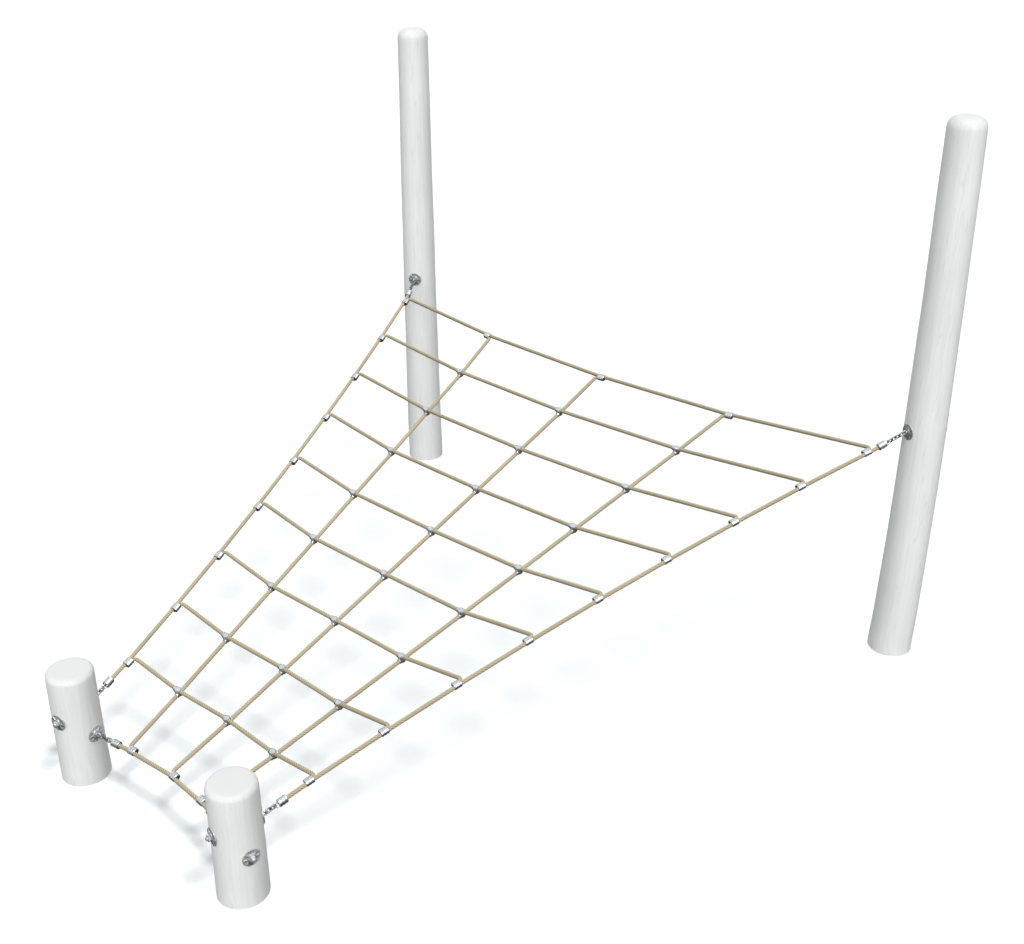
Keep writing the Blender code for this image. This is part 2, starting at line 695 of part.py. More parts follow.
def main():
    """Build the object."""
    middle = (long_node(0, 0) + long_node(0, NET_ROWS)) / 2
    net = add_empty("net_bounce_guide", axes_matrix(middle, SLOPE, NET_NORMAL))
    build_posts()
    build_anchors(net)
    build_net(net)


main()
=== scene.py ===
"""Looks of a cargo climbing net: twisted ropes, pressed ferrules, short chains and peeled posts.

Lengths are metres, +Z is up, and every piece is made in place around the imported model.
"""

import json
import logging
import math
from dataclasses import dataclass, field
from enum import Enum
from typing import Any

import bmesh
import bpy
from mathutils import Matrix, Vector, noise


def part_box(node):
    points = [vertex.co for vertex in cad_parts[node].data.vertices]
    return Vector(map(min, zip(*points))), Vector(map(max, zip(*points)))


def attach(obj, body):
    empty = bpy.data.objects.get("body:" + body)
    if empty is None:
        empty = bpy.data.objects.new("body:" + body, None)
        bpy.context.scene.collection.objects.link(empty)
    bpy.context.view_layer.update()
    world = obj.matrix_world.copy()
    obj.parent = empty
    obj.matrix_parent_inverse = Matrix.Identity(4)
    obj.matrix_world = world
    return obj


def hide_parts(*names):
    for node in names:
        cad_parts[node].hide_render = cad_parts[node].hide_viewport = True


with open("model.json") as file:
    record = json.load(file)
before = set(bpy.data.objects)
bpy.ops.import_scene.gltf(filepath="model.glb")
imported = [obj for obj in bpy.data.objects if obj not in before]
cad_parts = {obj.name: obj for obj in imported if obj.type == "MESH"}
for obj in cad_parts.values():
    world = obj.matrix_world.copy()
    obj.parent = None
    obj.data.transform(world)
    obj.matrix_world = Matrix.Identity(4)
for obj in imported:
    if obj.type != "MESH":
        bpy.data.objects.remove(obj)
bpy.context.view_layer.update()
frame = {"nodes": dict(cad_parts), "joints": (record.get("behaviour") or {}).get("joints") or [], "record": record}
LOG = logging.getLogger("climbing_net")

Colour = tuple[float, float, float, float]
Range = tuple[float, float]
Triple = tuple[float, float, float]
Profile = list[tuple[float, float]]
Section = tuple[float, float, float]
Socket = bpy.types.NodeSocket
Inputs = dict[str | int, Any]         # socket name or index to its value, or to what feeds it

UP = Vector((0.0, 0.0, 1.0))
TOUCH_GAP = 0.0003                    # between faces that touch
NOISE_SPREAD = (0.3, 0.7)             # nearly all values of a noise texture lie in it
QUARTER_TURN = math.pi / 2
RING_SEGMENTS = 32                    # round an eye
BAR_SEGMENTS = 14                     # round the bar of an eye


class Side(Enum):
    """The two sides of the net; the value is the sign of X."""

    LEFT = -1
    RIGHT = 1

    @property
    def word(self) -> str:
        """The side's name in node names."""
        return self.name.lower()


class Row(Enum):
    """The two rows of posts."""

    LOW = "low"
    TALL = "tall"


class Kind(Enum):
    """The three kinds of anchor, one of each on either side."""

    TALL = "tall"
    SIDE = "side"
    BOTTOM = "bottom"


class Slot(Enum):
    """The record's material slots."""

    TIMBER = "peeled_timber"
    ROPE = "net_rope"
    ALUMINIUM = "pressed_aluminium"
    STEEL = "galvanised_steel"


# ---------------------------------------------------------------- node graphs
class Graph:
    """Adds and wires the nodes of one shader or geometry tree."""

    def __init__(self, tree: bpy.types.NodeTree) -> None:
        """Keep the tree that the nodes go into."""
        self.tree = tree

    def feed(self, node: bpy.types.Node, inputs: Inputs) -> None:
        """Set a node's inputs.

        Args:
            node: The node.
            inputs: What each of its sockets gets.
        """
        for key, value in inputs.items():
            if isinstance(value, Socket):
                self.tree.links.new(value, node.inputs[key])
            else:
                node.inputs[key].default_value = value

    def add(self, kind: str, inputs: Inputs | None = None, **settings: Any) -> bpy.types.Node:
        """Add a node, set its properties and feed its inputs.

        Args:
            kind: The node's type name.
            inputs: What each of its sockets gets.
            **settings: Properties of the node.

        Returns:
            The new node.
        """
        node = self.tree.nodes.new(kind)
        for key, value in settings.items():
            setattr(node, key, value)
        self.feed(node, inputs or {})
        return node

    def calc(self, operation: str, *values: float | Socket) -> Socket:
        """Add a Math node over numbers or sockets and return its result."""
        return self.add("ShaderNodeMath", dict(enumerate(values)), operation=operation).outputs[0]

    def weighed(self, first: Socket, weight: float, second: Socket, other: float) -> Socket:
        """Add two values up, each times its weight."""
        return self.calc("ADD", self.calc("MULTIPLY", first, weight),
                         self.calc("MULTIPLY", second, other))

    def vector(self, **parts: float | Socket) -> Socket:
        """Combine X, Y and Z into a vector; one that isn't given is 0."""
        return self.add("ShaderNodeCombineXYZ", parts).outputs[0]

    def part(self, vector: Socket, axis: str) -> Socket:
        """Take X, Y or Z from a vector."""
        return self.add("ShaderNodeSeparateXYZ", {"Vector": vector}).outputs[axis]

    def blend(self, share: Socket, first: Colour | Socket, second: Colour | Socket) -> Socket:
        """Mix two colours; at a share of 0 the result is the first."""
        return self.add("ShaderNodeMix", {0: share, 6: first, 7: second},
                        data_type="RGBA").outputs[2]

    def remap(self, value: Socket, old: Range, new: Range = (0.0, 1.0)) -> Socket:
        """Map a value from an old range to a new one, and stop it at the new one's ends.

        Args:
            value: The value.
            old: The range that it comes from.
            new: The range that it goes to.

        Returns:
            The new value.
        """
        return self.add("ShaderNodeMapRange", {
            "Value": value, "From Min": old[0], "From Max": old[1],
            "To Min": new[0], "To Max": new[1]}).outputs["Result"]

    def place(self) -> Socket:
        """Coordinates of the shaded point, in the piece's own frame."""
        return self.add("ShaderNodeTexCoord").outputs["Object"]

    def attribute(self, name: str, output: str = "Fac") -> Socket:
        """Read one of the mesh's attributes in a shader."""
        return self.add("ShaderNodeAttribute", attribute_name=name).outputs[output]


class ShapeTree(Graph):
    """A geometry node tree with named inputs."""

    def __init__(self, name: str, **inputs: str) -> None:
        """Open the tree.

        Args:
            name: The tree's name.
            **inputs: Name of each input to its socket type, without the NodeSocket prefix.
        """
        super().__init__(bpy.data.node_groups.new(name, "GeometryNodeTree"))
        sockets = self.tree.interface
        sockets.new_socket(name="Geometry", in_out="INPUT", socket_type="NodeSocketGeometry")
        sockets.new_socket(name="Geometry", in_out="OUTPUT", socket_type="NodeSocketGeometry")
        for label, kind in inputs.items():
            sockets.new_socket(name=label, in_out="INPUT", socket_type=f"NodeSocket{kind}")
        self.given = self.add("NodeGroupInput").outputs

    def read(self, name: str, kind: str = "FLOAT") -> Socket:
        """Read a point attribute."""
        return self.add("GeometryNodeInputNamedAttribute", {"Name": name},
                        data_type=kind).outputs[0]

    def store(self, geometry: Socket, name: str, value: Socket, kind: str = "FLOAT") -> Socket:
        """Store a point attribute.

        Args:
            geometry: What it's stored on.
            name: The attribute's name.
            value: Its value at each point.
            kind: Its data type.

        Returns:
            The geometry that carries it.
        """
        return self.add("GeometryNodeStoreNamedAttribute",
                        {"Geometry": geometry, "Name": name, "Value": value},
                        data_type=kind, domain="POINT").outputs[0]

    def copy_to(self, points: Socket, pattern: Socket, turn: Socket) -> Socket:
        """Put a copy of a pattern on each point.

        Args:
            points: The points.
            pattern: Geometry of one copy.
            turn: Euler angles of each copy.

        Returns:
            The copies, as instances.
        """
        rotation = self.add("FunctionNodeEulerToRotation", {"Euler": turn})
        return self.add("GeometryNodeInstanceOnPoints", {
            "Points": points, "Instance": pattern, "Rotation": rotation.outputs[0]}).outputs[0]

    def close(self, geometry: Socket) -> None:
        """End the tree in Realize Instances and Set Material.

        Args:
            geometry: What the tree makes.
        """
        real = self.add("GeometryNodeRealizeInstances", {"Geometry": geometry})
        dressed = self.add("GeometryNodeSetMaterial",
                           {"Geometry": real.outputs[0], "Material": self.given["finish"]})
        self.add("NodeGroupOutput", {"Geometry": dressed.outputs[0]})

    def shape(self, source: bpy.types.Mesh, **values: Any) -> bpy.types.Mesh:
        """Run the tree over a mesh.

        Args:
            source: The mesh that the modifier sits on.
            **values: The tree's inputs, by name.

        Returns:
            The result as a plain mesh.
        """
        holder = placed("holder", source)
        modifier = holder.modifiers.new("shape", "NODES")
        modifier.node_group = self.tree
        for item in self.tree.interface.items_tree:
            if item.item_type == "SOCKET" and item.in_out == "INPUT" and item.name in values:
                modifier[item.identifier] = values[item.name]
        depsgraph = bpy.context.evaluated_depsgraph_get()
        mesh = bpy.data.meshes.new_from_object(holder.evaluated_get(depsgraph),
                                               preserve_all_data_layers=True, depsgraph=depsgraph)
        holder.modifiers.remove(modifier)
        bpy.data.objects.remove(holder)
        return mesh


# ---------------------------------------------------------------- finishes
@dataclass(frozen=True)
class Grain:
    """One noise texture."""

    scale: float
    detail: float
    roughness: float = 0.5
    distortion: float = 0.0

    def add(self, graph: Graph, where: Socket) -> Socket:
        """Add the texture to a graph.

        Args:
            graph: The graph.
            where: The texture's coordinates.

        Returns:
            The texture's value.
        """
        return graph.add("ShaderNodeTexNoise", {
            "Vector": where, "Scale": self.scale, "Detail": self.detail,
            "Roughness": self.roughness, "Distortion": self.distortion}).outputs["Fac"]


@dataclass(frozen=True)
class Relief:
    """How deep a surface's bumps look."""

    strength: float
    distance: float

    def add(self, graph: Graph, height: Socket) -> Socket:
        """Add the bumps to a graph, and return the surface's normal."""
        return graph.add("ShaderNodeBump", {"Strength": self.strength, "Height": height,
                                            "Distance": self.distance}).outputs[0]


@dataclass(frozen=True)
class Finish:
    """Base of every finish: a material with one Principled shader."""

    name: str

    def material(self) -> bpy.types.Material:
        """Make the material.

        Returns:
            The material.
        """
        material = bpy.data.materials.new(self.name)
        material.use_nodes = True
        graph = Graph(material.node_tree)
        graph.feed(graph.tree.nodes["Principled BSDF"], self.inputs(graph))
        return material

    def inputs(self, graph: Graph) -> Inputs:
        """Add this finish's nodes to a graph and return what feeds the shader."""
        raise NotImplementedError


@dataclass(frozen=True)
class RopeFinish(Finish):
    """Beige spun-fibre rope: streaks along each strand, with painted shade in the grooves between strands."""

    light: Colour = (0.53, 0.46, 0.315, 1.0)
    dark: Colour = (0.39, 0.332, 0.215, 1.0)
    # painted shade: the dark colour laid into the grooves between strands
    groove: Colour = (0.105, 0.085, 0.05, 1.0)
    groove_width: Range = (0.35, 1.0)     # of the groove's depth, where the painted shade darkens it
    groove_share: float = 0.85            # of the painted shade's colour, at the groove's bottom
    fibre_scale: float = 9.0              # streaks around the rope
    fibre_stretch: float = 26.0           # streaks along the rope, for each metre
    fibres: Grain = Grain(1.6, 4.0, 0.62)
    fibre_weight: float = 0.65
    weather: Grain = Grain(3.5, 3.0)
    weather_weight: float = 0.35
    contrast: Range = (0.36, 0.64)        # tones that come out dark and light
    yarn: Grain = Grain(6.0, 2.0)
    relief: Relief = Relief(0.35, 0.0006)
    roughness: Range = (0.62, 0.82)
    specular: float = 0.3

    def inputs(self, graph: Graph) -> Inputs:
        """Shade by the rope's own attributes.

        Args:
            graph: The material's graph.

        Returns:
            What feeds the shader.
        """
        around = graph.attribute("around", "Vector")
        along = graph.attribute("along")
        where = graph.vector(X=graph.calc("MULTIPLY", graph.part(around, "X"), self.fibre_scale),
                             Y=graph.calc("MULTIPLY", graph.part(around, "Y"), self.fibre_scale),
                             Z=graph.calc("MULTIPLY", along, self.fibre_stretch))
        fibres = self.fibres.add(graph, where)
        weather = self.weather.add(graph, graph.place())
        tone = graph.weighed(fibres, self.fibre_weight, weather, self.weather_weight)
        streaks = graph.blend(graph.remap(tone, self.contrast), self.dark, self.light)
        # painted shade: darkens the colour towards the bottom of each groove between strands
        depth = graph.remap(graph.attribute("groove"), self.groove_width, (0.0, self.groove_share))
        return {"Base Color": graph.blend(depth, streaks, self.groove),
                "Roughness": graph.remap(fibres, NOISE_SPREAD, self.roughness),
                "Normal": self.relief.add(graph, self.yarn.add(graph, where)),
                "Specular IOR Level": self.specular}


@dataclass(frozen=True)
class AluminiumFinish(Finish):
    """Bright pressed aluminium with fine tool marks."""

    bright: Colour = (0.90, 0.91, 0.93, 1.0)
    dull: Colour = (0.74, 0.75, 0.78, 1.0)
    cloud: Grain = Grain(60.0, 4.0, 0.6)
    contrast: Range = (0.35, 0.65)
    tool_marks: Grain = Grain(900.0, 2.0)
    relief: Relief = Relief(0.25, 0.0002)
    roughness: Range = (0.34, 0.20)

    def inputs(self, graph: Graph) -> Inputs:
        """Shade with clouds and tool marks.

        Args:
            graph: The material's graph.

        Returns:
            What feeds the shader.
        """
        place = graph.place()
        cloud = self.cloud.add(graph, place)
        return {"Base Color": graph.blend(graph.remap(cloud, self.contrast),
                                          self.dull, self.bright),
                "Roughness": graph.remap(cloud, NOISE_SPREAD, self.roughness),
                "Normal": self.relief.add(graph, self.tool_marks.add(graph, place)),
                "Metallic": 1.0}


@dataclass(frozen=True)
class GalvanisedFinish(Finish):
    """Hot-dip galvanised steel with its spangle, dulled a little by weather."""

    light: Colour = (0.70, 0.71, 0.72, 1.0)
    dark: Colour = (0.42, 0.43, 0.44, 1.0)
    metal: float = 0.55
    spangle_scale: float = 170.0
    spangle_weight: float = 0.45
    dust: Grain = Grain(45.0, 5.0)
    dust_weight: float = 0.8
    contrast: Range = (0.3, 0.95)
    relief: Relief = Relief(0.3, 0.0004)
    roughness_tones: Range = (0.3, 0.9)
    roughness: Range = (0.32, 0.52)

    def inputs(self, graph: Graph) -> Inputs:
        """Shade with spangle and dust.

        Args:
            graph: The material's graph.

        Returns:
            What feeds the shader.
        """
        place = graph.place()
        flakes = graph.add("ShaderNodeTexVoronoi", {"Vector": place, "Scale": self.spangle_scale})
        flake = graph.part(flakes.outputs["Color"], "X")
        dust = self.dust.add(graph, place)
        tone = graph.weighed(flake, self.spangle_weight, dust, self.dust_weight)
        return {"Base Color": graph.blend(graph.remap(tone, self.contrast), self.dark, self.light),
                "Roughness": graph.remap(tone, self.roughness_tones, self.roughness),
                "Normal": self.relief.add(graph, dust),
                "Metallic": self.metal}


@dataclass(frozen=True)
class TimberFinish(Finish):
    """Pale peeled timber: long grain on the trunk, year rings on the sawn top."""

    middle: Triple                     # of the trunk's foot
    light: Colour = (0.60, 0.60, 0.595, 1.0)
    dark: Colour = (0.55, 0.55, 0.545, 1.0)
    check: Colour = (0.47, 0.468, 0.46, 1.0)
    grain_shape: Triple = (38.0, 38.0, 1.6)
    grain: Grain = Grain(2.2, 6.0, 0.6, 0.4)
    grain_weight: float = 0.6
    patches: Grain = Grain(4.0, 2.0)
    patch_weight: float = 0.4
    contrast: Range = (0.38, 0.62)
    checks: Grain = Grain(0.9, 2.0)
    check_middle: float = 0.5             # noise value in the middle of a check
    check_width: float = 0.012            # noise values either side of it
    check_share: float = 0.55
    ring_spacing: float = 0.006
    ring_waver: float = 3.0               # ring spacings that the rings wander
    top_facing: Range = (0.80, 0.95)      # upward parts of the normal, from trunk to sawn top
    relief: Relief = Relief(0.35, 0.0012)
    roughness: Range = (0.85, 0.7)
    specular: float = 0.2

    def inputs(self, graph: Graph) -> Inputs:
        """Shade with grain, checks and rings, centred on one trunk.

        Args:
            graph: The material's graph.

        Returns:
            What feeds the shader.
        """
        centred = graph.add("ShaderNodeMapping", {"Vector": graph.place(), "Location": tuple(
            -value for value in self.middle)}).outputs[0]
        long_grain = graph.add("ShaderNodeMapping", {"Vector": centred,
                                                     "Scale": self.grain_shape}).outputs[0]
        grain = self.grain.add(graph, long_grain)
        patches = self.patches.add(graph, centred)
        tone = graph.weighed(grain, self.grain_weight, patches, self.patch_weight)
        peeled = graph.blend(graph.remap(tone, self.contrast), self.dark, self.light)
        off_middle = graph.calc("SUBTRACT", self.checks.add(graph, long_grain), self.check_middle)
        check = graph.remap(graph.calc("ABSOLUTE", off_middle), (0.0, self.check_width),
                            (self.check_share, 0.0))
        trunk = graph.blend(check, peeled, self.check)
        flat = graph.vector(X=graph.part(centred, "X"), Y=graph.part(centred, "Y"))
        radius = graph.add("ShaderNodeVectorMath", {0: flat}, operation="LENGTH").outputs["Value"]
        waver = graph.calc("MULTIPLY", patches, self.ring_spacing * self.ring_waver)
        turns = graph.calc("DIVIDE", graph.calc("ADD", radius, waver), self.ring_spacing)
        rings = graph.calc("SINE", graph.calc("MULTIPLY", turns, math.tau))
        sawn = graph.blend(graph.remap(rings, (-1.0, 1.0)), self.dark, self.light)
        facing = graph.part(graph.add("ShaderNodeNewGeometry").outputs["Normal"], "Z")
        return {"Base Color": graph.blend(graph.remap(facing, self.top_facing), trunk, sawn),
                "Roughness": graph.remap(tone, NOISE_SPREAD, self.roughness),
                "Normal": self.relief.add(graph, grain),
                "Specular IOR Level": self.specular}


@dataclass(frozen=True)
class FloorFinish(Finish):
    """Plain pale studio floor."""

    colour: Colour = (0.72, 0.73, 0.735, 1.0)
    roughness: float = 0.9

    def inputs(self, graph: Graph) -> Inputs:
        """Plain colour, which needs no nodes of its own in the graph."""
        return {"Base Color": self.colour, "Roughness": self.roughness, "Specular IOR Level": 0.0}


# ---------------------------------------------------------------- meshes
def placed(name: str, data: bpy.types.ID) -> bpy.types.Object:
    """Add an object to the scene.

    Args:
        name: Its name.
        data: Its mesh, light or camera.

    Returns:
        The object.
    """
    item = bpy.data.objects.new(name, data)
    bpy.context.scene.collection.objects.link(item)
    return item


def baked(shape: bmesh.types.BMesh, name: str) -> bpy.types.Mesh:
    """Turn an editable shape into a mesh.

    Args:
        shape: The shape, which is freed.
        name: The mesh's name.

    Returns:
        The mesh.
    """
    mesh = bpy.data.meshes.new(name)
    shape.to_mesh(mesh)
    shape.free()
    return mesh


def smoothed(mesh: bpy.types.Mesh, angle: float = 32.0) -> bpy.types.Mesh:
    """Shade a mesh smooth, except at its sharper edges.

    Args:
        mesh: The mesh.
        angle: Edges sharper than this, in degrees, stay sharp.

    Returns:
        The same mesh.
    """
    mesh.shade_smooth()
    mesh.set_sharp_from_angle(angle=math.radians(angle))
    return mesh


def joined(*meshes: bpy.types.Mesh) -> bpy.types.Mesh:
    """Put several meshes into one, side by side.

    Args:
        *meshes: The meshes; the first one's materials are kept.

    Returns:
        The new mesh.
    """
    shape = bmesh.new()
    for mesh in meshes:
        shape.from_mesh(mesh)
    result = baked(shape, "joined")
    for material in meshes[0].materials:
        result.materials.append(material)
    return result


def moved(mesh: bpy.types.Mesh, matrix: Matrix) -> bpy.types.Mesh:
    """Move a mesh's points, and return it."""
    mesh.transform(matrix)
    return mesh


def lofted(sections: list[Section], segments: int, power: float = 2.0,
           ring: bool = False) -> bpy.types.Mesh:
    """Skin round or oval sections that stand along the local X axis.

    Args:
        sections: (x, half width along Y, half width along Z) of each section; 0 makes a pole.
        segments: Faces around.
        power: 2 is an ellipse, and more is squarer.
        ring: Join the last section to the first, for a shape with a bore.

    Returns:
        The mesh, smooth, with its sharp edges marked.
    """
    shape = bmesh.new()
    rows = []
    for x, half_y, half_z in sections:
        if half_y == 0:
            rows.append([shape.verts.new((x, 0, 0))])
            continue
        row = []
        for step in range(segments):
            angle = math.tau * step / segments
            cosine, sine = math.cos(angle), math.sin(angle)
            y = half_y * math.copysign(abs(cosine) ** (2 / power), cosine)
            z = half_z * math.copysign(abs(sine) ** (2 / power), sine)
            row.append(shape.verts.new((x, y, z)))
        rows.append(row)
    for first, second in zip(rows, rows[1:] + (rows[:1] if ring else [])):
        for step in range(segments):
            after = (step + 1) % segments
            corners = [first[step % len(first)], second[step % len(second)],
                       second[after % len(second)], first[after % len(first)]]
            shape.faces.new(list(dict.fromkeys(corners)))
    bmesh.ops.recalc_face_normals(shape, faces=shape.faces)
    return smoothed(baked(shape, "loft"))


def turned(profile: Profile, segments: int, ring: bool = False) -> bpy.types.Mesh:
    """Turn a profile of (x, radius) points about the local X axis."""
    return lofted([(x, radius, radius) for x, radius in profile], segments, ring=ring)


def arc(x: float, radius: float, bend: float, start: float, end: float, steps: int = 4) -> Profile:
    """Points of a rounded rim.

    Args:
        x: Where the bend's centre lies along the axis.
        radius: The centre's distance from the axis.
        bend: Radius of the bend.
        start: First angle in degrees; 0 points along +X and 90 away from the axis.
        end: Last angle in degrees.
        steps: Faces along the bend.

    Returns:
        The points.
    """
    angles = [math.radians(start + (end - start) * step / steps) for step in range(steps + 1)]
    return [(x + bend * math.cos(angle), radius + bend * math.sin(angle)) for angle in angles]


def press_groove(x: float, level: float, depth: float, top: float = 0.0030,
                 bottom: float = 0.0016) -> Profile:
    """Points of a shallow groove that a press leaves.

    Args:
        x: The groove's middle.
        level: Height of the surface that it's pressed into.
        depth: Its depth.
        top: Half its width at the surface.
        bottom: Half the width of its floor.

    Returns:
        The points.
    """
    return [(x - top, level), (x - bottom, level - depth),
            (x + bottom, level - depth), (x + top, level)]


def axes_matrix(origin: Vector, x_axis: Vector, z_hint: Vector) -> Matrix:
    """Work out a place from two directions.

    Args:
        origin: Where its origin lies.
        x_axis: The way that its X axis runs.
        z_hint: The way that its Z axis runs, as nearly as it can.

    Returns:
        The place.
    """
    x_dir = x_axis.normalized()
    y_dir = z_hint.cross(x_dir).normalized()
    rotation = Matrix((x_dir, y_dir, x_dir.cross(y_dir))).transposed()
    return Matrix.Translation(origin) @ rotation.to_4x4()


def cad_span(node: str, direction: Vector) -> tuple[float, float]:
    """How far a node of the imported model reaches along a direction, from the origin."""
    reaches = [vert.co.dot(direction) for vert in frame["nodes"][node].data.vertices]
    return min(reaches), max(reaches)


# ---------------------------------------------------------------- placing pieces
def show(name: str, mesh: bpy.types.Mesh, body: str, nodes: list[str],
         material: bpy.types.Material | None = None) -> bpy.types.Object:
    """Add a finished piece to the scene.

    Args:
        name: The piece's name.
        mesh: Its mesh, in place.
        body: The body that it moves with.
        nodes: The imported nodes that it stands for.
        material: Its material, where the mesh has none yet.

    Returns:
        The piece's object.
    """
    if material is not None:
        mesh.materials.clear()
        mesh.materials.append(material)
    piece = placed(name, mesh)
    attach(piece, body)
    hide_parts(*nodes)
    LOG.info("%s: %d faces, on %s", name, len(mesh.polygons), body)
    return piece


# ---------------------------------------------------------------- net layout
@dataclass(frozen=True)
class Anchor:
    """How one kind of anchor leaves its post, and how far its fitting is from the net."""

    bearing: float                # in plan, from the row's inward direction
    climb: float                  # above the horizon
    links: int
    lead: float                   # bare rope between the fitting and the first node


@dataclass(frozen=True)
class Hardware:
    """Sizes of the chains, eyes and end fittings."""

    chain_wire: float = 0.006
    chain_pitch: float = 0.0185
    chain_inner_width: float = 0.0095
    link_bite: float = 0.0012
    eye_wire: float = 0.006
    bolt_eye_hole: float = 0.011
    fitting_eye_hole: float = 0.0145
    fitting_eye_weld: float = 0.0006
    fitting_eye_slack: float = 0.00275
    eye_link_gap: float = 0.0004
    sleeve_length: float = 0.036
    sleeve_diameter: float = 0.032
    socket_depth: float = 0.026

    @property
    def bolt_eye_radius(self) -> float:
        """Outside radius of a bolt's eye."""
        return self.bolt_eye_hole / 2 + self.eye_wire

    @property
    def fitting_reach(self) -> float:
        """From the middle of a fitting's eye to its sleeve."""
        return self.fitting_eye_hole / 2 + self.fitting_eye_weld

    def chain_length(self, links: int) -> float:
        """From the first bar of a chain to its last bar."""
        return ((links - 1) * (self.chain_pitch + self.link_bite)
                + self.chain_pitch + self.chain_wire)


HARDWARE = Hardware()
ANCHORS = {
    Kind.TALL: Anchor(math.radians(27.7), math.radians(-21.5), 4, 0.0208),
    Kind.SIDE: Anchor(math.radians(-12.2), math.radians(15.0), 2, 0.1305),
    Kind.BOTTOM: Anchor(math.radians(79.6), math.radians(-3.3), 3, 0.0395),
}


class AnchorPlace:
    """Where one anchor's bolt, chain, fitting and rope lie."""

    def __init__(self, kind: Kind, side: Side) -> None:
        """Work the places out from the chain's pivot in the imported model.

        Args:
            kind: The anchor's kind.
            side: Its side.
        """
        anchor = ANCHORS[kind]
        self.kind = kind
        self.side = side
        self.links = anchor.links
        name = f"{kind.value}_chain_swing_{side.word}"
        joint = next(joint for joint in frame["joints"] if joint["name"] == name)
        inward = -1 if kind is Kind.TALL else 1
        self.outward = Vector((-side.value * math.sin(anchor.bearing),
                               inward * math.cos(anchor.bearing), 0))
        self.chain_dir = (self.outward * math.cos(anchor.climb) + UP * math.sin(anchor.climb))
        self.pivot = Vector(joint["pos_m"])
        first_link = HARDWARE.bolt_eye_hole / 2 - HARDWARE.chain_wire / 2 - HARDWARE.eye_link_gap
        self.eye = self.pivot - self.chain_dir * first_link
        self.chain_length = HARDWARE.chain_length(anchor.links)
        self.fitting_eye = self.pivot + self.chain_dir * (
            self.chain_length + HARDWARE.fitting_eye_slack)
        sleeve_end = HARDWARE.fitting_reach + HARDWARE.sleeve_length
        self.rope_end = self.fitting_eye + self.chain_dir * (
            sleeve_end - HARDWARE.socket_depth + TOUCH_GAP)
        self.node = self.fitting_eye + self.chain_dir * (sleeve_end + anchor.lead)

    @property
    def disc_ways(self) -> tuple[tuple[str, Vector], ...]:
        """The two discs' names and the ways that they face."""
        return ("front_disc", self.outward), ("back_disc", -self.outward)

    def node_name(self, piece: str) -> str:
        """Name of this anchor's node for a piece, such as tall_chain_left."""
        return f"{self.kind.value}_{piece}_{self.side.word}"

    def on_post(self, node: str, way: Vector, gap: float = 0.0) -> Matrix:
        """Place of a piece on the bolt's axis.

        Args:
            node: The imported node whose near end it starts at.
            way: The way that it faces.
            gap: How far before that end it starts.

        Returns:
            The place.
        """
        seat = cad_span(node, way)[0] - gap
        return axes_matrix(self.eye + way * (seat - self.eye.dot(way)), way, UP)


PLACES = {(kind, side): AnchorPlace(kind, side) for kind in Kind for side in Side}


def sagging(share: float) -> float:
    """Share of a rope's whole sag at a share of its length; it's 1 in the middle."""
    return 4 * share * (1 - share)


@dataclass(frozen=True)
class Join:
    """A rope's end, its pressed tail and the ferrule on it."""

    end: Vector
    tail: list[Vector]
    tail_widths: list[float]
    ferrule: Matrix


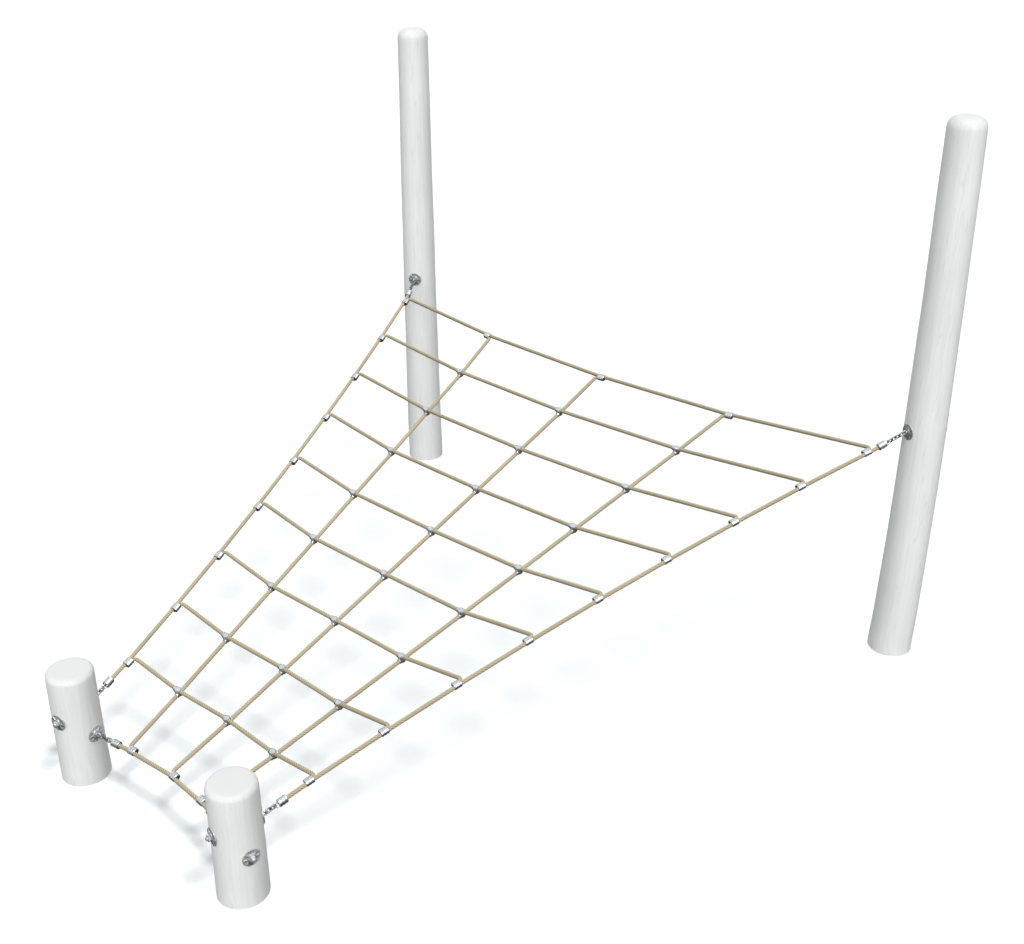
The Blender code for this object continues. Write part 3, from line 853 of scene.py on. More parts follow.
@dataclass(frozen=True)
class NetLayout:
    """Routes of the net's ropes."""

    rows: int = 9
    rope: float = 0.018
    swaged: float = 0.0126
    side_bow: float = 0.0555
    top_belly: float = 0.098
    top_sag: float = 0.026
    top_spread: float = 0.713
    long_sag: float = 0.005
    bottom_belly: float = 0.020
    bottom_sag: float = 0.001
    bend_radius: float = 0.011
    bend_steps: int = 8
    join_depth: float = 0.016
    ferrule_length: float = 0.034

    @property
    def spacing(self) -> float:
        """Between the axes of a border rope and a tail pressed beside it."""
        return (self.rope + self.swaged) / 2 + 2 * TOUCH_GAP

    @property
    def lift(self) -> float:
        """From a crossing's middle to the axis of either rope."""
        return self.rope / 2 + TOUCH_GAP

    def side_node(self, side: Side, row: int) -> Vector:
        """Where a transverse rope meets a side rope.

        Args:
            side: The side.
            row: The transverse rope's row; 0 is the top rope.

        Returns:
            The point.
        """
        share = row / (self.rows - 1)
        top = PLACES[(Kind.TALL, side)].node
        low = PLACES[(Kind.SIDE, side)].node
        bow = Vector((-side.value * self.side_bow * sagging(share), 0, 0))
        return top.lerp(low, share) + bow

    def top_point(self, x: float) -> Vector:
        """A point of the top rope.

        Args:
            x: How far it is from the middle of the net.

        Returns:
            The point.
        """
        corner = PLACES[(Kind.TALL, Side.LEFT if x < 0 else Side.RIGHT)].node
        slack = 1 - (x / corner.x) ** 2
        return Vector((x, corner.y - self.top_belly * slack, corner.z - self.top_sag * slack))

    def bottom_node(self, column: int) -> Vector:
        """Where a long rope meets the bottom rope.

        Args:
            column: The long rope's column; 0 is the middle one.

        Returns:
            The point.
        """
        left = PLACES[(Kind.BOTTOM, Side.LEFT)].node
        right = PLACES[(Kind.BOTTOM, Side.RIGHT)].node
        if column == 0:
            return left.lerp(right, 0.5) + Vector((0, self.bottom_belly, -self.bottom_sag))
        return (left if column < 0 else right).copy()

    def long_node(self, column: int, row: int) -> Vector:
        """Where a long rope meets a transverse rope.

        Args:
            column: The long rope's column.
            row: The transverse rope's row.

        Returns:
            The point, half way between the two ropes' axes.
        """
        share = row / self.rows
        point = self.top_point(self.top_spread * column).lerp(self.bottom_node(column), share)
        return point - UP * (self.long_sag * sagging(share))

    @property
    def normal(self) -> Vector:
        """Upward normal of the net."""
        slope = (self.long_node(0, 0) - self.long_node(0, self.rows)).normalized()
        return Vector((1, 0, 0)).cross(slope)

    def join(self, node: Vector, along: Vector, neighbour: Vector) -> Join:
        """Turn a rope's end into a ferrule.

        Args:
            node: The point of the border rope that the rope comes to.
            along: The way that the tail runs along the border rope.
            neighbour: The last point of the rope before its end.

        Returns:
            The join.
        """
        run = along.normalized()
        inward = neighbour - node
        inward = (inward - run * inward.dot(run)).normalized()
        corner = node + inward * self.spacing
        toward = (neighbour - corner).normalized()
        half_angle = toward.angle(run) / 2
        reach = self.bend_radius / math.tan(half_angle)
        centre = corner + (toward + run).normalized() * (self.bend_radius / math.sin(half_angle))
        spoke_start = (corner + toward * reach - centre).normalized()
        spoke_end = (corner + run * reach - centre).normalized()
        tail = []
        widths = []
        for step in range(self.bend_steps + 1):
            share = step / self.bend_steps
            tail.append(centre + spoke_start.slerp(spoke_end, share) * self.bend_radius)
            widths.append(1 + (self.swaged / self.rope - 1) * share)
        tail.append(corner + run * (reach + self.join_depth))
        widths.append(self.swaged / self.rope)
        middle = node + run * (reach + self.ferrule_length / 2)
        middle += inward * (self.spacing + (self.swaged - self.rope) / 2) / 2
        ferrule = axes_matrix(middle, run, run.cross(inward))
        return Join(centre + spoke_start * self.bend_radius, tail, widths, ferrule)

    def side_join(self, side: Side, row: int, neighbour: Vector) -> Join:
        """Join a transverse rope to a side rope.

        Args:
            side: The side.
            row: The transverse rope's row.
            neighbour: The last point of the transverse rope before its end.

        Returns:
            The join.
        """
        node = self.side_node(side, row)
        low_end = PLACES[(Kind.SIDE, side)].rope_end
        after = self.side_node(side, row + 1) if row < self.rows - 1 else low_end
        return self.join(node, after - node, neighbour)


LAYOUT = NetLayout()


# ---------------------------------------------------------------- ropes
@dataclass
class Route:
    """The line that one rope follows, with its width at each point."""

    points: list[Vector]
    widths: list[float]

    @property
    def length(self) -> float:
        """Length of the rope."""
        return sum((b - a).length for a, b in zip(self.points, self.points[1:]))


@dataclass
class TwistedRope:
    """Six-strand rope, laid along a route by geometry nodes."""

    radius: float = 0.009
    strands: int = 6
    points_per_strand: int = 6
    groove_depth: float = 0.20        # share of the radius
    lay: float = 0.088                # length of one full turn of a strand
    step: float = 0.0062
    tree: ShapeTree = field(init=False)

    def __post_init__(self) -> None:
        """Build the tree once for all ropes."""
        tree = ShapeTree("twisted_rope", radius="Float", groove_depth="Float", lay="Float",
                         step="Float", finish="Material")
        line = tree.add("GeometryNodeMeshToCurve", {"Mesh": tree.given["Geometry"]})
        even = tree.add("GeometryNodeResampleCurve", {"Curve": line.outputs[0],
                                                      "Length": tree.given["step"]},
                        mode="LENGTH")
        along = tree.add("GeometryNodeSplineParameter").outputs["Length"]
        turn = tree.calc("DIVIDE", tree.calc("MULTIPLY", along, math.tau), tree.given["lay"])
        laid = tree.add("GeometryNodeSetCurveTilt", {"Curve": even.outputs[0], "Tilt": turn})
        skin = tree.add("GeometryNodeCurveToMesh", {
            "Curve": tree.store(laid.outputs[0], "along", along),
            "Profile Curve": self.strand_profile(tree),
            "Scale": tree.read("width"), "Fill Caps": True})
        smooth = tree.add("GeometryNodeSetShadeSmooth", {"Geometry": skin.outputs[0]})
        tree.close(smooth.outputs[0])
        self.tree = tree

    def strand_profile(self, tree: ShapeTree) -> Socket:
        """Outline of the rope's cross-section, with one bulge for each strand.

        Args:
            tree: The tree that its nodes go into.

        Returns:
            The outline's curve.
        """
        count = self.strands * self.points_per_strand
        circle = tree.add("GeometryNodeCurvePrimitiveCircle",
                          {"Resolution": count, "Radius": tree.given["radius"]})
        index = tree.add("GeometryNodeInputIndex").outputs[0]
        half_turns = tree.calc("MULTIPLY", index, math.pi * self.strands / count)
        groove = tree.calc("SUBTRACT", 1.0, tree.calc("ABSOLUTE", tree.calc("COSINE", half_turns)))
        place = tree.add("GeometryNodeInputPosition").outputs[0]
        unit = tree.add("ShaderNodeVectorMath", {0: place}, operation="NORMALIZE").outputs[0]
        around = tree.store(circle.outputs[0], "around", unit, "FLOAT_VECTOR")
        share = tree.calc("SUBTRACT", 1.0, tree.calc("MULTIPLY", groove,
                                                     tree.given["groove_depth"]))
        dented = tree.add("ShaderNodeVectorMath", {0: place, "Scale": share}, operation="SCALE")
        # the groove share is also kept as an attribute, which the rope's finish reads to paint shade into the
        # grooves
        return tree.add("GeometryNodeSetPosition", {
            "Geometry": tree.store(around, "groove", groove),
            "Position": dented.outputs[0]}).outputs[0]

    def mesh(self, route: Route, material: bpy.types.Material) -> bpy.types.Mesh:
        """Lay one rope along its route.

        Args:
            route: The route.
            material: The rope's finish.

        Returns:
            The rope's mesh.
        """
        line = bpy.data.meshes.new("route")
        edges = [(index, index + 1) for index in range(len(route.points) - 1)]
        line.from_pydata(route.points, edges, [])
        widths = line.attributes.new("width", "FLOAT", "POINT")
        widths.data.foreach_set("value", route.widths)
        return self.tree.shape(line, radius=self.radius, groove_depth=self.groove_depth,
                               lay=self.lay, step=self.step, finish=material)


@dataclass
class NetRopes:
    """The net's fifteen ropes, and the places of its ferrules and crossing clamps."""

    material: bpy.types.Material
    rope: TwistedRope = field(default_factory=TwistedRope)
    columns: dict[int, str] = field(default_factory=lambda: {-1: "left", 0: "middle", 1: "right"})

    def joined_route(self, first: Join, second: Join, middle: list[Vector]) -> Route:
        """Work out the route of a rope whose two ends turn into ferrules.

        Args:
            first: The join at its start.
            second: The join at its end.
            middle: The points between them.

        Returns:
            The route.
        """
        points = first.tail[::-1] + middle + second.tail
        widths = first.tail_widths[::-1] + [1.0] * len(middle) + second.tail_widths
        return Route(points, widths)

    def lay(self, name: str, route: Route) -> None:
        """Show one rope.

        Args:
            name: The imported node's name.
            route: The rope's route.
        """
        piece = show(f"{name}_strands", self.rope.mesh(route, self.material), "net",
                     [name])
        route.length

    def border_routes(self) -> dict[str, Route]:
        """Work out the routes of the side ropes and the bottom rope.

        Returns:
            Each route by its rope's name.
        """
        routes = {}
        for side in Side:
            points = [PLACES[(Kind.TALL, side)].rope_end]
            points += [LAYOUT.side_node(side, row) for row in range(LAYOUT.rows)]
            points.append(PLACES[(Kind.SIDE, side)].rope_end)
            routes[f"side_rope_{side.word}"] = Route(points, [1.0] * len(points))
        points = [PLACES[(Kind.BOTTOM, Side.LEFT)].rope_end]
        points += [LAYOUT.bottom_node(column) for column in self.columns]
        points.append(PLACES[(Kind.BOTTOM, Side.RIGHT)].rope_end)
        routes["bottom_rope"] = Route(points, [1.0] * len(points))
        return routes

    def build(self) -> tuple[dict[str, list[Matrix]], dict[int, list[tuple[Matrix, ...]]]]:
        """Lay every rope.

        Returns:
            The ferrules' places by border rope, and each column's clamps, as the places of the
            drum and of its collars on the upper and the lower rope.
        """
        normal = LAYOUT.normal
        lift = normal * LAYOUT.lift
        columns = list(self.columns)
        top_nodes = [LAYOUT.long_node(column, 0) for column in columns]
        bottom_nodes = [LAYOUT.bottom_node(column) for column in columns]
        ferrules: dict[str, list[Matrix]] = {}
        clamps: dict[int, list[tuple[Matrix, ...]]] = {column: [] for column in columns}

        for name, route in self.border_routes().items():
            self.lay(name, route)
        for row in range(LAYOUT.rows):
            if row:
                middle = [LAYOUT.long_node(column, row) + lift for column in columns]
            else:
                middle = top_nodes
            left = LAYOUT.side_join(Side.LEFT, row, middle[0])
            right = LAYOUT.side_join(Side.RIGHT, row, middle[-1])
            ferrules.setdefault("side_rope_left", []).append(left.ferrule)
            ferrules.setdefault("side_rope_right", []).append(right.ferrule)
            self.lay(f"cross_rope_{row}" if row else "top_rope",
                     self.joined_route(left, right, middle))
            for place, column in enumerate(columns if row else []):
                before = middle[place - 1] if place else left.end
                after = middle[place + 1] if column != columns[-1] else right.end
                down = LAYOUT.long_node(column, row + 1) - LAYOUT.long_node(column, row - 1)
                centre = LAYOUT.long_node(column, row)
                clamps[column].append((axes_matrix(centre, normal, down),
                                       axes_matrix(centre + lift, after - before, normal),
                                       axes_matrix(centre - lift, down, normal)))
        corner_ends = {-1: LAYOUT.side_join(Side.LEFT, 0, top_nodes[0]).end,
                       1: LAYOUT.side_join(Side.RIGHT, 0, top_nodes[-1]).end}
        for column, word in self.columns.items():
            under = [LAYOUT.long_node(column, row) - lift for row in range(1, LAYOUT.rows)]
            top = top_nodes[column + 1]
            top_along = corner_ends[column] - top if column else top_nodes[2] - top
            bottom_goal = bottom_nodes[1] if column else bottom_nodes[2]
            top_join = LAYOUT.join(top, top_along, under[0])
            bottom_join = LAYOUT.join(bottom_nodes[column + 1],
                                      bottom_goal - bottom_nodes[column + 1], under[-1])
            ferrules.setdefault("top_rope", []).append(top_join.ferrule)
            ferrules.setdefault("bottom_rope", []).append(bottom_join.ferrule)
            self.lay(f"long_rope_{word}", self.joined_route(top_join, bottom_join, under))
        return ferrules, clamps


# ---------------------------------------------------------------- repeated fittings
@dataclass
class Copier:
    """Puts copies of a small piece at many places, by geometry nodes."""

    tree: ShapeTree = field(init=False)

    def __post_init__(self) -> None:
        """Build the tree once."""
        tree = ShapeTree("placed_copies", pattern="Object", finish="Material")
        pattern = tree.add("GeometryNodeObjectInfo", {"Object": tree.given["pattern"]})
        tree.close(tree.copy_to(tree.given["Geometry"], pattern.outputs["Geometry"],
                                tree.read("turn", "FLOAT_VECTOR")))
        self.tree = tree

    def copies(self, pattern: bpy.types.Mesh, places: list[Matrix],
               material: bpy.types.Material) -> bpy.types.Mesh:
        """Copy a mesh to each place.

        Args:
            pattern: The mesh of one copy, about its own origin.
            places: Where the copies go.
            material: Their finish.

        Returns:
            One mesh of all the copies.
        """
        points = bpy.data.meshes.new("places")
        points.from_pydata([place.translation for place in places], [], [])
        turns = points.attributes.new("turn", "FLOAT_VECTOR", "POINT")
        turns.data.foreach_set("vector", [angle for place in places for angle in place.to_euler()])
        holder = placed("pattern", pattern)
        result = self.tree.shape(points, pattern=holder, finish=material)
        bpy.data.objects.remove(holder)
        return result


@dataclass
class PressedFerrules:
    """Oval sleeves that press the tail of a rope against a border rope."""

    material: bpy.types.Material
    copier: Copier
    length: float = 0.034
    width: float = 0.0352
    thickness: float = 0.026
    rim: float = 0.0028
    groove: float = 0.0007
    groove_offset: float = 0.0062     # of the two grooves from the middle
    lip: float = 0.0018
    flare: float = 0.0008             # how far the bore opens towards its ends
    flare_length: float = 0.012
    bore_chamfer: float = 0.0005
    lip_stretch: float = 1.6          # lip at the flat sides over lip at the round ones
    squareness: float = 2.3
    segments: int = 28
    rim_steps: int = 3

    def pattern(self) -> bpy.types.Mesh:
        """Make one hollow sleeve about the X axis, with two press grooves.

        Returns:
            Its mesh.
        """
        half = self.length / 2
        outer = arc(-half + self.rim, -self.rim, self.rim, 180, 90, self.rim_steps)
        for centre in (-self.groove_offset, self.groove_offset):
            outer += press_groove(centre, 0.0, self.groove)
        outer += arc(half - self.rim, -self.rim, self.rim, 90, 0, self.rim_steps)
        half_y, half_z = self.width / 2, self.thickness / 2
        sections = [(x, half_y + inset, half_z + inset) for x, inset in outer]
        bore_y, bore_z = half_y - self.lip, half_z - self.lip * self.lip_stretch
        mouth, throat = half - self.bore_chamfer, half - self.flare_length
        sections += [(mouth, bore_y, bore_z), (throat, bore_y, bore_z - self.flare),
                     (-throat, bore_y, bore_z - self.flare), (-mouth, bore_y, bore_z)]
        return lofted(sections, self.segments, power=self.squareness, ring=True)

    def build(self, places: dict[str, list[Matrix]]) -> None:
        """Show the ferrules, one piece for each border rope.

        Args:
            places: The ferrules' places, by border rope.
        """
        pattern = self.pattern()
        for rope, ferrules in places.items():
            mesh = self.copier.copies(pattern, ferrules, self.material)
            show(f"{rope}_ferrules", smoothed(mesh), "net", [rope])


@dataclass
class CrossingClamps:
    """Drum-shaped clamps with a collar on each rope that passes through."""

    material: bpy.types.Material
    copier: Copier
    radius: float = 0.015
    half_height: float = 0.0205
    rounding: float = 0.0098
    collar_radius: float = 0.0112
    collar_bore: float = 0.0093
    collar_half_length: float = 0.0172
    collar_rim: float = 0.0011
    bore_chamfer: float = 0.0006
    dimple_depth: float = 0.0010
    dimple_radius: float = 0.0038
    dimple_floor: float = 0.0026
    parting_width: float = 0.0011     # half of the groove between the drum's halves
    parting_floor: float = 0.0005
    parting_depth: float = 0.0008
    drum_segments: int = 24
    drum_rim_steps: int = 6
    collar_segments: int = 20
    collar_rim_steps: int = 2

    def drum(self) -> bpy.types.Mesh:
        """Make the drum about the X axis, with a parting groove and a dimple at each end.

        Returns:
            Its mesh.
        """
        low = self.half_height - self.dimple_depth
        half = [(low, 0.0), (low, self.dimple_floor), (self.half_height, self.dimple_radius)]
        half += arc(self.half_height - self.rounding, self.radius - self.rounding, self.rounding,
                    0, 90, self.drum_rim_steps)
        half += [(self.parting_width, self.radius),
                 (self.parting_floor, self.radius - self.parting_depth)]
        other = [(-x, radius) for x, radius in reversed(half)]
        return turned(half + other, self.drum_segments)

    def collar(self) -> bpy.types.Mesh:
        """Make a collar about the X axis.

        Returns:
            Its mesh.
        """
        end, rim = self.collar_half_length, self.collar_rim
        middle, steps = self.collar_radius - rim, self.collar_rim_steps
        profile = arc(-end + rim, middle, rim, 180, 90, steps)
        profile += arc(end - rim, middle, rim, 90, 0, steps)
        profile += [(end - self.bore_chamfer, self.collar_bore),
                    (-end + self.bore_chamfer, self.collar_bore)]
        return turned(profile, self.collar_segments, ring=True)

    def build(self, places: dict[int, list[tuple[Matrix, ...]]], words: dict[int, str]) -> None:
        """Show the clamps, one piece for each long rope.

        Args:
            places: The places of each column's drums and of their two collars.
            words: Each column's word in its long rope's name.
        """
        drum = self.drum()
        collar = self.collar()
        for column, clamps in places.items():
            drums = self.copier.copies(drum, [clamp[0] for clamp in clamps], self.material)
            collars = self.copier.copies(collar, [place for clamp in clamps
                                                  for place in clamp[1:]], self.material)
            name = f"long_rope_{words[column]}"
            show(f"{name}_clamps", smoothed(joined(drums, collars)), "net", [name],
                 self.material)


# ---------------------------------------------------------------- anchors
def eye_ring(hole: float, wire: float) -> bpy.types.Mesh:
    """Make a forged ring about the Y axis, its middle at the origin.

    Args:
        hole: Diameter of its hole.
        wire: Diameter of its bar.

    Returns:
        Its mesh.
    """
    bpy.ops.mesh.primitive_torus_add(major_segments=RING_SEGMENTS, minor_segments=BAR_SEGMENTS,
                                     major_radius=(hole + wire) / 2, minor_radius=wire / 2)
    torus = bpy.context.object
    mesh = torus.data
    bpy.data.objects.remove(torus)
    return moved(mesh, Matrix.Rotation(QUARTER_TURN, 4, "X"))


@dataclass
class Chain:
    """Short-link chain, its links set a quarter turn from each other by geometry nodes."""

    material: bpy.types.Material
    bend_share: float = 0.4999            # bend radius over link width; a half is a full bend
    bend_steps: int = 7
    bar_segments: int = 12
    tree: ShapeTree = field(init=False)

    def __post_init__(self) -> None:
        """Build the tree once for all chains."""
        tree = ShapeTree("link_chain", links="Int", spacing="Float", wire="Float", width="Float",
                         finish="Material")
        given = tree.given
        height = tree.calc("ADD", given["width"], given["wire"])
        length = tree.calc("ADD", given["spacing"], given["wire"])
        outline = tree.add("GeometryNodeCurvePrimitiveQuadrilateral",
                           {"Width": length, "Height": height})
        bend = tree.calc("MULTIPLY", height, self.bend_share)
        rounded = tree.add("GeometryNodeFilletCurve", {
            "Curve": outline.outputs[0], "Count": self.bend_steps, "Radius": bend}, mode="POLY")
        bar = tree.add("GeometryNodeCurvePrimitiveCircle", {
            "Resolution": self.bar_segments, "Radius": tree.calc("MULTIPLY", given["wire"], 0.5)})
        link = tree.add("GeometryNodeCurveToMesh", {"Curve": rounded.outputs[0],
                                                    "Profile Curve": bar.outputs[0]})
        shift = tree.vector(X=tree.calc("MULTIPLY", length, 0.5))
        first = tree.add("GeometryNodeTransform", {"Geometry": link.outputs[0],
                                                   "Translation": shift})
        line = tree.add("GeometryNodeMeshLine", {"Count": given["links"],
                                                 "Offset": tree.vector(X=given["spacing"])})
        index = tree.add("GeometryNodeInputIndex").outputs[0]
        turn = tree.vector(X=tree.calc("MULTIPLY", index, QUARTER_TURN))
        copies = tree.copy_to(line.outputs[0], first.outputs[0], turn)
        real = tree.add("GeometryNodeRealizeInstances", {"Geometry": copies})
        smooth = tree.add("GeometryNodeSetShadeSmooth", {"Geometry": real.outputs[0]})
        tree.close(smooth.outputs[0])
        self.tree = tree

    def build(self, place: AnchorPlace) -> None:
        """Show one chain, on its own body.

        Args:
            place: Its anchor.
        """
        empty = bpy.data.meshes.new("chain")
        spacing = (place.chain_length - HARDWARE.chain_wire) / place.links
        mesh = self.tree.shape(empty, links=place.links, spacing=spacing,
                               wire=HARDWARE.chain_wire, width=HARDWARE.chain_inner_width,
                               finish=self.material)
        moved(mesh, axes_matrix(place.pivot, place.chain_dir, LAYOUT.normal))
        node = place.node_name("chain")
        show(f"{node}_links", mesh, node, [node])


@dataclass
class EndFitting:
    """Pressed sleeve on a rope's end, with an eye welded on for the chain."""

    material: bpy.types.Material
    rim: float = 0.0024
    face: float = 0.006                   # radius of the flat round the eye
    groove: float = 0.0007
    groove_shares: Range = (0.3, 0.7)     # along the sleeve
    bore_gap: float = 0.0006
    bore_chamfer: float = 0.0012
    bore_depth: float = 0.018
    segments: int = 36
    weld_segments: int = 20
    weld: tuple[tuple[float, float], ...] = ((0.0071, 0.0), (0.0071, 0.0036), (0.0078, 0.0046),
                                             (0.0086, 0.0068), (0.0086, 0.0))

    def mesh(self) -> bpy.types.Mesh:
        """Make the fitting along +X, its eye's middle at the origin.

        Returns:
            Its mesh.
        """
        start = HARDWARE.fitting_reach
        end = start + HARDWARE.sleeve_length
        radius = HARDWARE.sleeve_diameter / 2
        profile = [(start, 0.0), (start, self.face)]
        profile += arc(start + self.rim, radius - self.rim, self.rim, 180, 90, 4)
        for share in self.groove_shares:
            profile += press_groove(start + HARDWARE.sleeve_length * share, radius, self.groove)
        profile += arc(end - self.rim, radius - self.rim, self.rim, 90, 0, 4)
        bore = LAYOUT.rope / 2 + self.bore_gap
        profile += [(end, bore + self.bore_chamfer), (end - self.bore_chamfer, bore),
                    (end - self.bore_depth, bore), (end - self.bore_depth, 0.0)]
        return joined(turned(profile, self.segments), turned(list(self.weld), self.weld_segments),
                      eye_ring(HARDWARE.fitting_eye_hole, HARDWARE.eye_wire))

    def build(self, place: AnchorPlace) -> None:
        """Show one fitting, its eye square to the chain's last link.

        Args:
            place: Its anchor.
        """
        spin = Matrix.Rotation(QUARTER_TURN * ((place.links + 1) % 2), 4, "X")
        spot = axes_matrix(place.fitting_eye, place.chain_dir, LAYOUT.normal) @ spin
        node = place.node_name("end_fitting")
        show(f"{node}_sleeve", smoothed(moved(self.mesh(), spot)), "net", [node],
             self.material)


@dataclass
class RibbedDisc:
    """Cast disc that spreads a bolt's pull on the post, its ribs set by geometry nodes."""

    material: bpy.types.Material
    radius: float = 0.035
    hub: float = 0.017
    bore: float = 0.0086
    thickness: float = 0.008
    rim: float = 0.0035
    web: float = 0.0026
    edge: float = 0.0012                  # rounding of the rim and the hub
    chamfer: float = 0.0010
    ribs: int = 8
    rib_width_out: float = 0.0034
    rib_width_in: float = 0.0052
    rib_edge: float = 0.0007
    rib_length: float = 0.96              # share of the way from hub to rim
    rib_height: float = 0.86              # share of the hub's height
    flange: float = 0.0036                # flat width of the rim
    fillet: float = 0.0050                # from the rim's edge to where the web starts
    root: float = 0.0024                  # from the hub to where the web starts to rise
    segments: int = 64
    tree: ShapeTree = field(init=False)

    def __post_init__(self) -> None:
        """Build the tree once for all discs."""
        tree = ShapeTree("disc_ribs", ribs="Int", reach="Float", pattern="Object",
                         finish="Material")
        circle = tree.add("GeometryNodeMeshCircle", {"Vertices": tree.given["ribs"],
                                                     "Radius": tree.given["reach"]})
        index = tree.add("GeometryNodeInputIndex").outputs[0]
        angle = tree.calc("DIVIDE", tree.calc("MULTIPLY", index, math.tau), tree.given["ribs"])
        pattern = tree.add("GeometryNodeObjectInfo", {"Object": tree.given["pattern"]})
        copies = tree.copy_to(circle.outputs[0], pattern.outputs["Geometry"],
                              tree.vector(Z=angle))
        both = tree.add("GeometryNodeJoinGeometry", {"Geometry": tree.given["Geometry"]})
        tree.feed(both, {"Geometry": copies})
        tree.close(both.outputs[0])
        self.tree = tree

    def rib(self) -> bpy.types.Mesh:
        """Make one rib along X, above Z = 0, lower at the rim than at the hub.

        Returns:
            Its mesh.
        """
        shape = bmesh.new()
        bmesh.ops.create_cube(shape, size=1.0)
        length = (self.radius - self.hub) * self.rib_length
        foot = self.web * 0.5
        for vert in shape.verts:
            outer = vert.co.x > 0
            height = self.rim if outer else self.thickness * self.rib_height
            vert.co.x *= length
            vert.co.y *= self.rib_width_out if outer else self.rib_width_in
            vert.co.z = height if vert.co.z > 0 else foot
        edges = [edge for edge in shape.edges if min(vert.co.z for vert in edge.verts) > foot * 1.5]
        bmesh.ops.bevel(shape, geom=edges, offset=self.rib_edge, segments=2, affect="EDGES")
        return smoothed(baked(shape, "rib"))

    def mesh(self) -> bpy.types.Mesh:
        """Make the disc about the X axis, its seat on X = 0.

        Returns:
            Its mesh.
        """
        profile = [(0.0, self.bore), (0.0, self.radius - self.edge / 2)]
        profile += arc(self.rim - self.edge, self.radius - self.edge, self.edge, 90, 0, 3)
        profile += [(self.rim, self.radius - self.flange), (self.web, self.radius - self.fillet),
                    (self.web + 0.0008, self.hub + self.root),
                    (self.web + 0.0020, self.hub + 0.0008)]
        profile += arc(self.thickness - self.edge, self.hub - self.edge, self.edge, 90, 0, 3)
        profile += [(self.thickness, self.bore + self.chamfer),
                    (self.thickness - self.chamfer, self.bore)]
        base = moved(turned(profile, self.segments, ring=True),
                     Matrix.Rotation(-QUARTER_TURN, 4, "Y"))
        rib = placed("rib", self.rib())
        mesh = self.tree.shape(base, ribs=self.ribs, reach=(self.radius + self.hub) / 2,
                               pattern=rib, finish=self.material)
        bpy.data.objects.remove(rib)
        return moved(mesh, Matrix.Rotation(QUARTER_TURN, 4, "Y"))

    def build(self, place: AnchorPlace) -> None:
        """Show the disc in front of the post and the one behind it.

        Args:
            place: Their anchor.
        """
        for piece, way in place.disc_ways:
            node = place.node_name(piece)
            mesh = moved(self.mesh(), place.on_post(node, way))
            show(f"{node}_casting", smoothed(mesh), "root", [node])


@dataclass
class CapNut:
    """Closed hexagon nut with a domed cap."""

    material: bpy.types.Material
    across_flats: float = 0.024
    hex_height: float = 0.0115
    seat_chamfer: float = 0.0010
    top_chamfer: float = 0.0014
    dome_radius: float = 0.0092
    dome_root: float = 0.001              # how far the dome starts inside the hexagon
    dome_steps: int = 7
    dome_segments: int = 28
    seat_share: float = 0.96              # of the flats' distance, at the seat
    top_share: float = 0.97               # and at the top
    flat_angle: float = 10.0              # sharpest edge that's shaded smooth, in degrees

    def mesh(self, height: float) -> bpy.types.Mesh:
        """Make the nut along +X from its seat at the origin.

        Args:
            height: Its height with the dome.

        Returns:
            Its mesh.
        """
        inner = self.across_flats / 2
        corner = inner / math.cos(math.pi / 6)
        flats = [(0.0, 0.0), (0.0, inner * self.seat_share), (self.seat_chamfer, corner),
                 (self.hex_height - self.top_chamfer, corner),
                 (self.hex_height, inner * self.top_share), (self.hex_height, 0.0)]
        hexagon = turned(flats, 6)
        hexagon.set_sharp_from_angle(angle=math.radians(self.flat_angle))
        root = self.hex_height - self.dome_root
        dome = [(root, 0.0), (root, self.dome_radius)]
        rise = height - self.hex_height
        for step in range(1, self.dome_steps):
            angle = QUARTER_TURN * step / self.dome_steps
            dome.append((self.hex_height + rise * math.sin(angle),
                         self.dome_radius * math.cos(angle)))
        dome.append((height, 0.0))
        return joined(hexagon, turned(dome, self.dome_segments))

    def build(self, place: AnchorPlace) -> None:
        """Show one nut.

        Args:
            place: Its anchor.
        """
        node = place.node_name("cap_nut")
        low, high = cad_span(node, -place.outward)
        mesh = moved(self.mesh(high - low), place.on_post(node, -place.outward))
        show(f"{node}_forging", mesh, "root", [node], self.material)


@dataclass
class EyeBolt:
    """Forged eye bolt through the post."""

    material: bpy.types.Material
    neck: float = 0.0058
    shank: float = 0.0079
    shoulder: float = 0.0006
    thread_pitch: float = 0.0020
    thread_length: float = 0.024
    thread_depth: float = 0.0009
    point: float = 0.0008                 # length of the shank's chamfered end
    point_drop: float = 0.0014            # how much thinner the shank is at its very end
    neck_root: float = 0.0042             # how far the neck reaches into the eye's bar
    neck_start: float = 0.0016            # where it has its full width
    neck_taper: float = 0.9
    segments: int = 24

    def mesh(self, length: float) -> bpy.types.Mesh:
        """Make the bolt with its eye at the origin and its shank along -X.

        Args:
            length: From the eye's outside to the shank's end.

        Returns:
            Its mesh.
        """
        ring_radius = HARDWARE.bolt_eye_radius
        start = -ring_radius - TOUCH_GAP
        end = -ring_radius - length
        root = -ring_radius + self.neck_root
        profile = [(root, 0.0), (root, self.neck * self.neck_taper),
                   (-ring_radius + self.neck_start, self.neck),
                   (start, self.neck + self.shoulder), (start - self.shoulder, self.shank)]
        x = end + self.thread_length
        while x > end + self.thread_pitch:
            profile += [(x, self.shank),
                        (x - self.thread_pitch / 2, self.shank - self.thread_depth)]
            x -= self.thread_pitch
        profile += [(end + self.point, self.shank - self.point / 2),
                    (end, self.shank - self.point_drop), (end, 0.0)]
        shank = turned(profile, self.segments)
        return joined(shank, eye_ring(HARDWARE.bolt_eye_hole, HARDWARE.eye_wire))

    def build(self, place: AnchorPlace) -> None:
        """Show one bolt.

        Args:
            place: Its anchor.
        """
        node = place.node_name("eye_bolt")
        far_end = cad_span(node, -place.outward)[1]
        length = far_end + place.eye.dot(place.outward) - HARDWARE.bolt_eye_radius
        mesh = moved(self.mesh(length), axes_matrix(place.eye, place.outward, UP))
        show(f"{node}_forging", mesh, "root", [node], self.material)


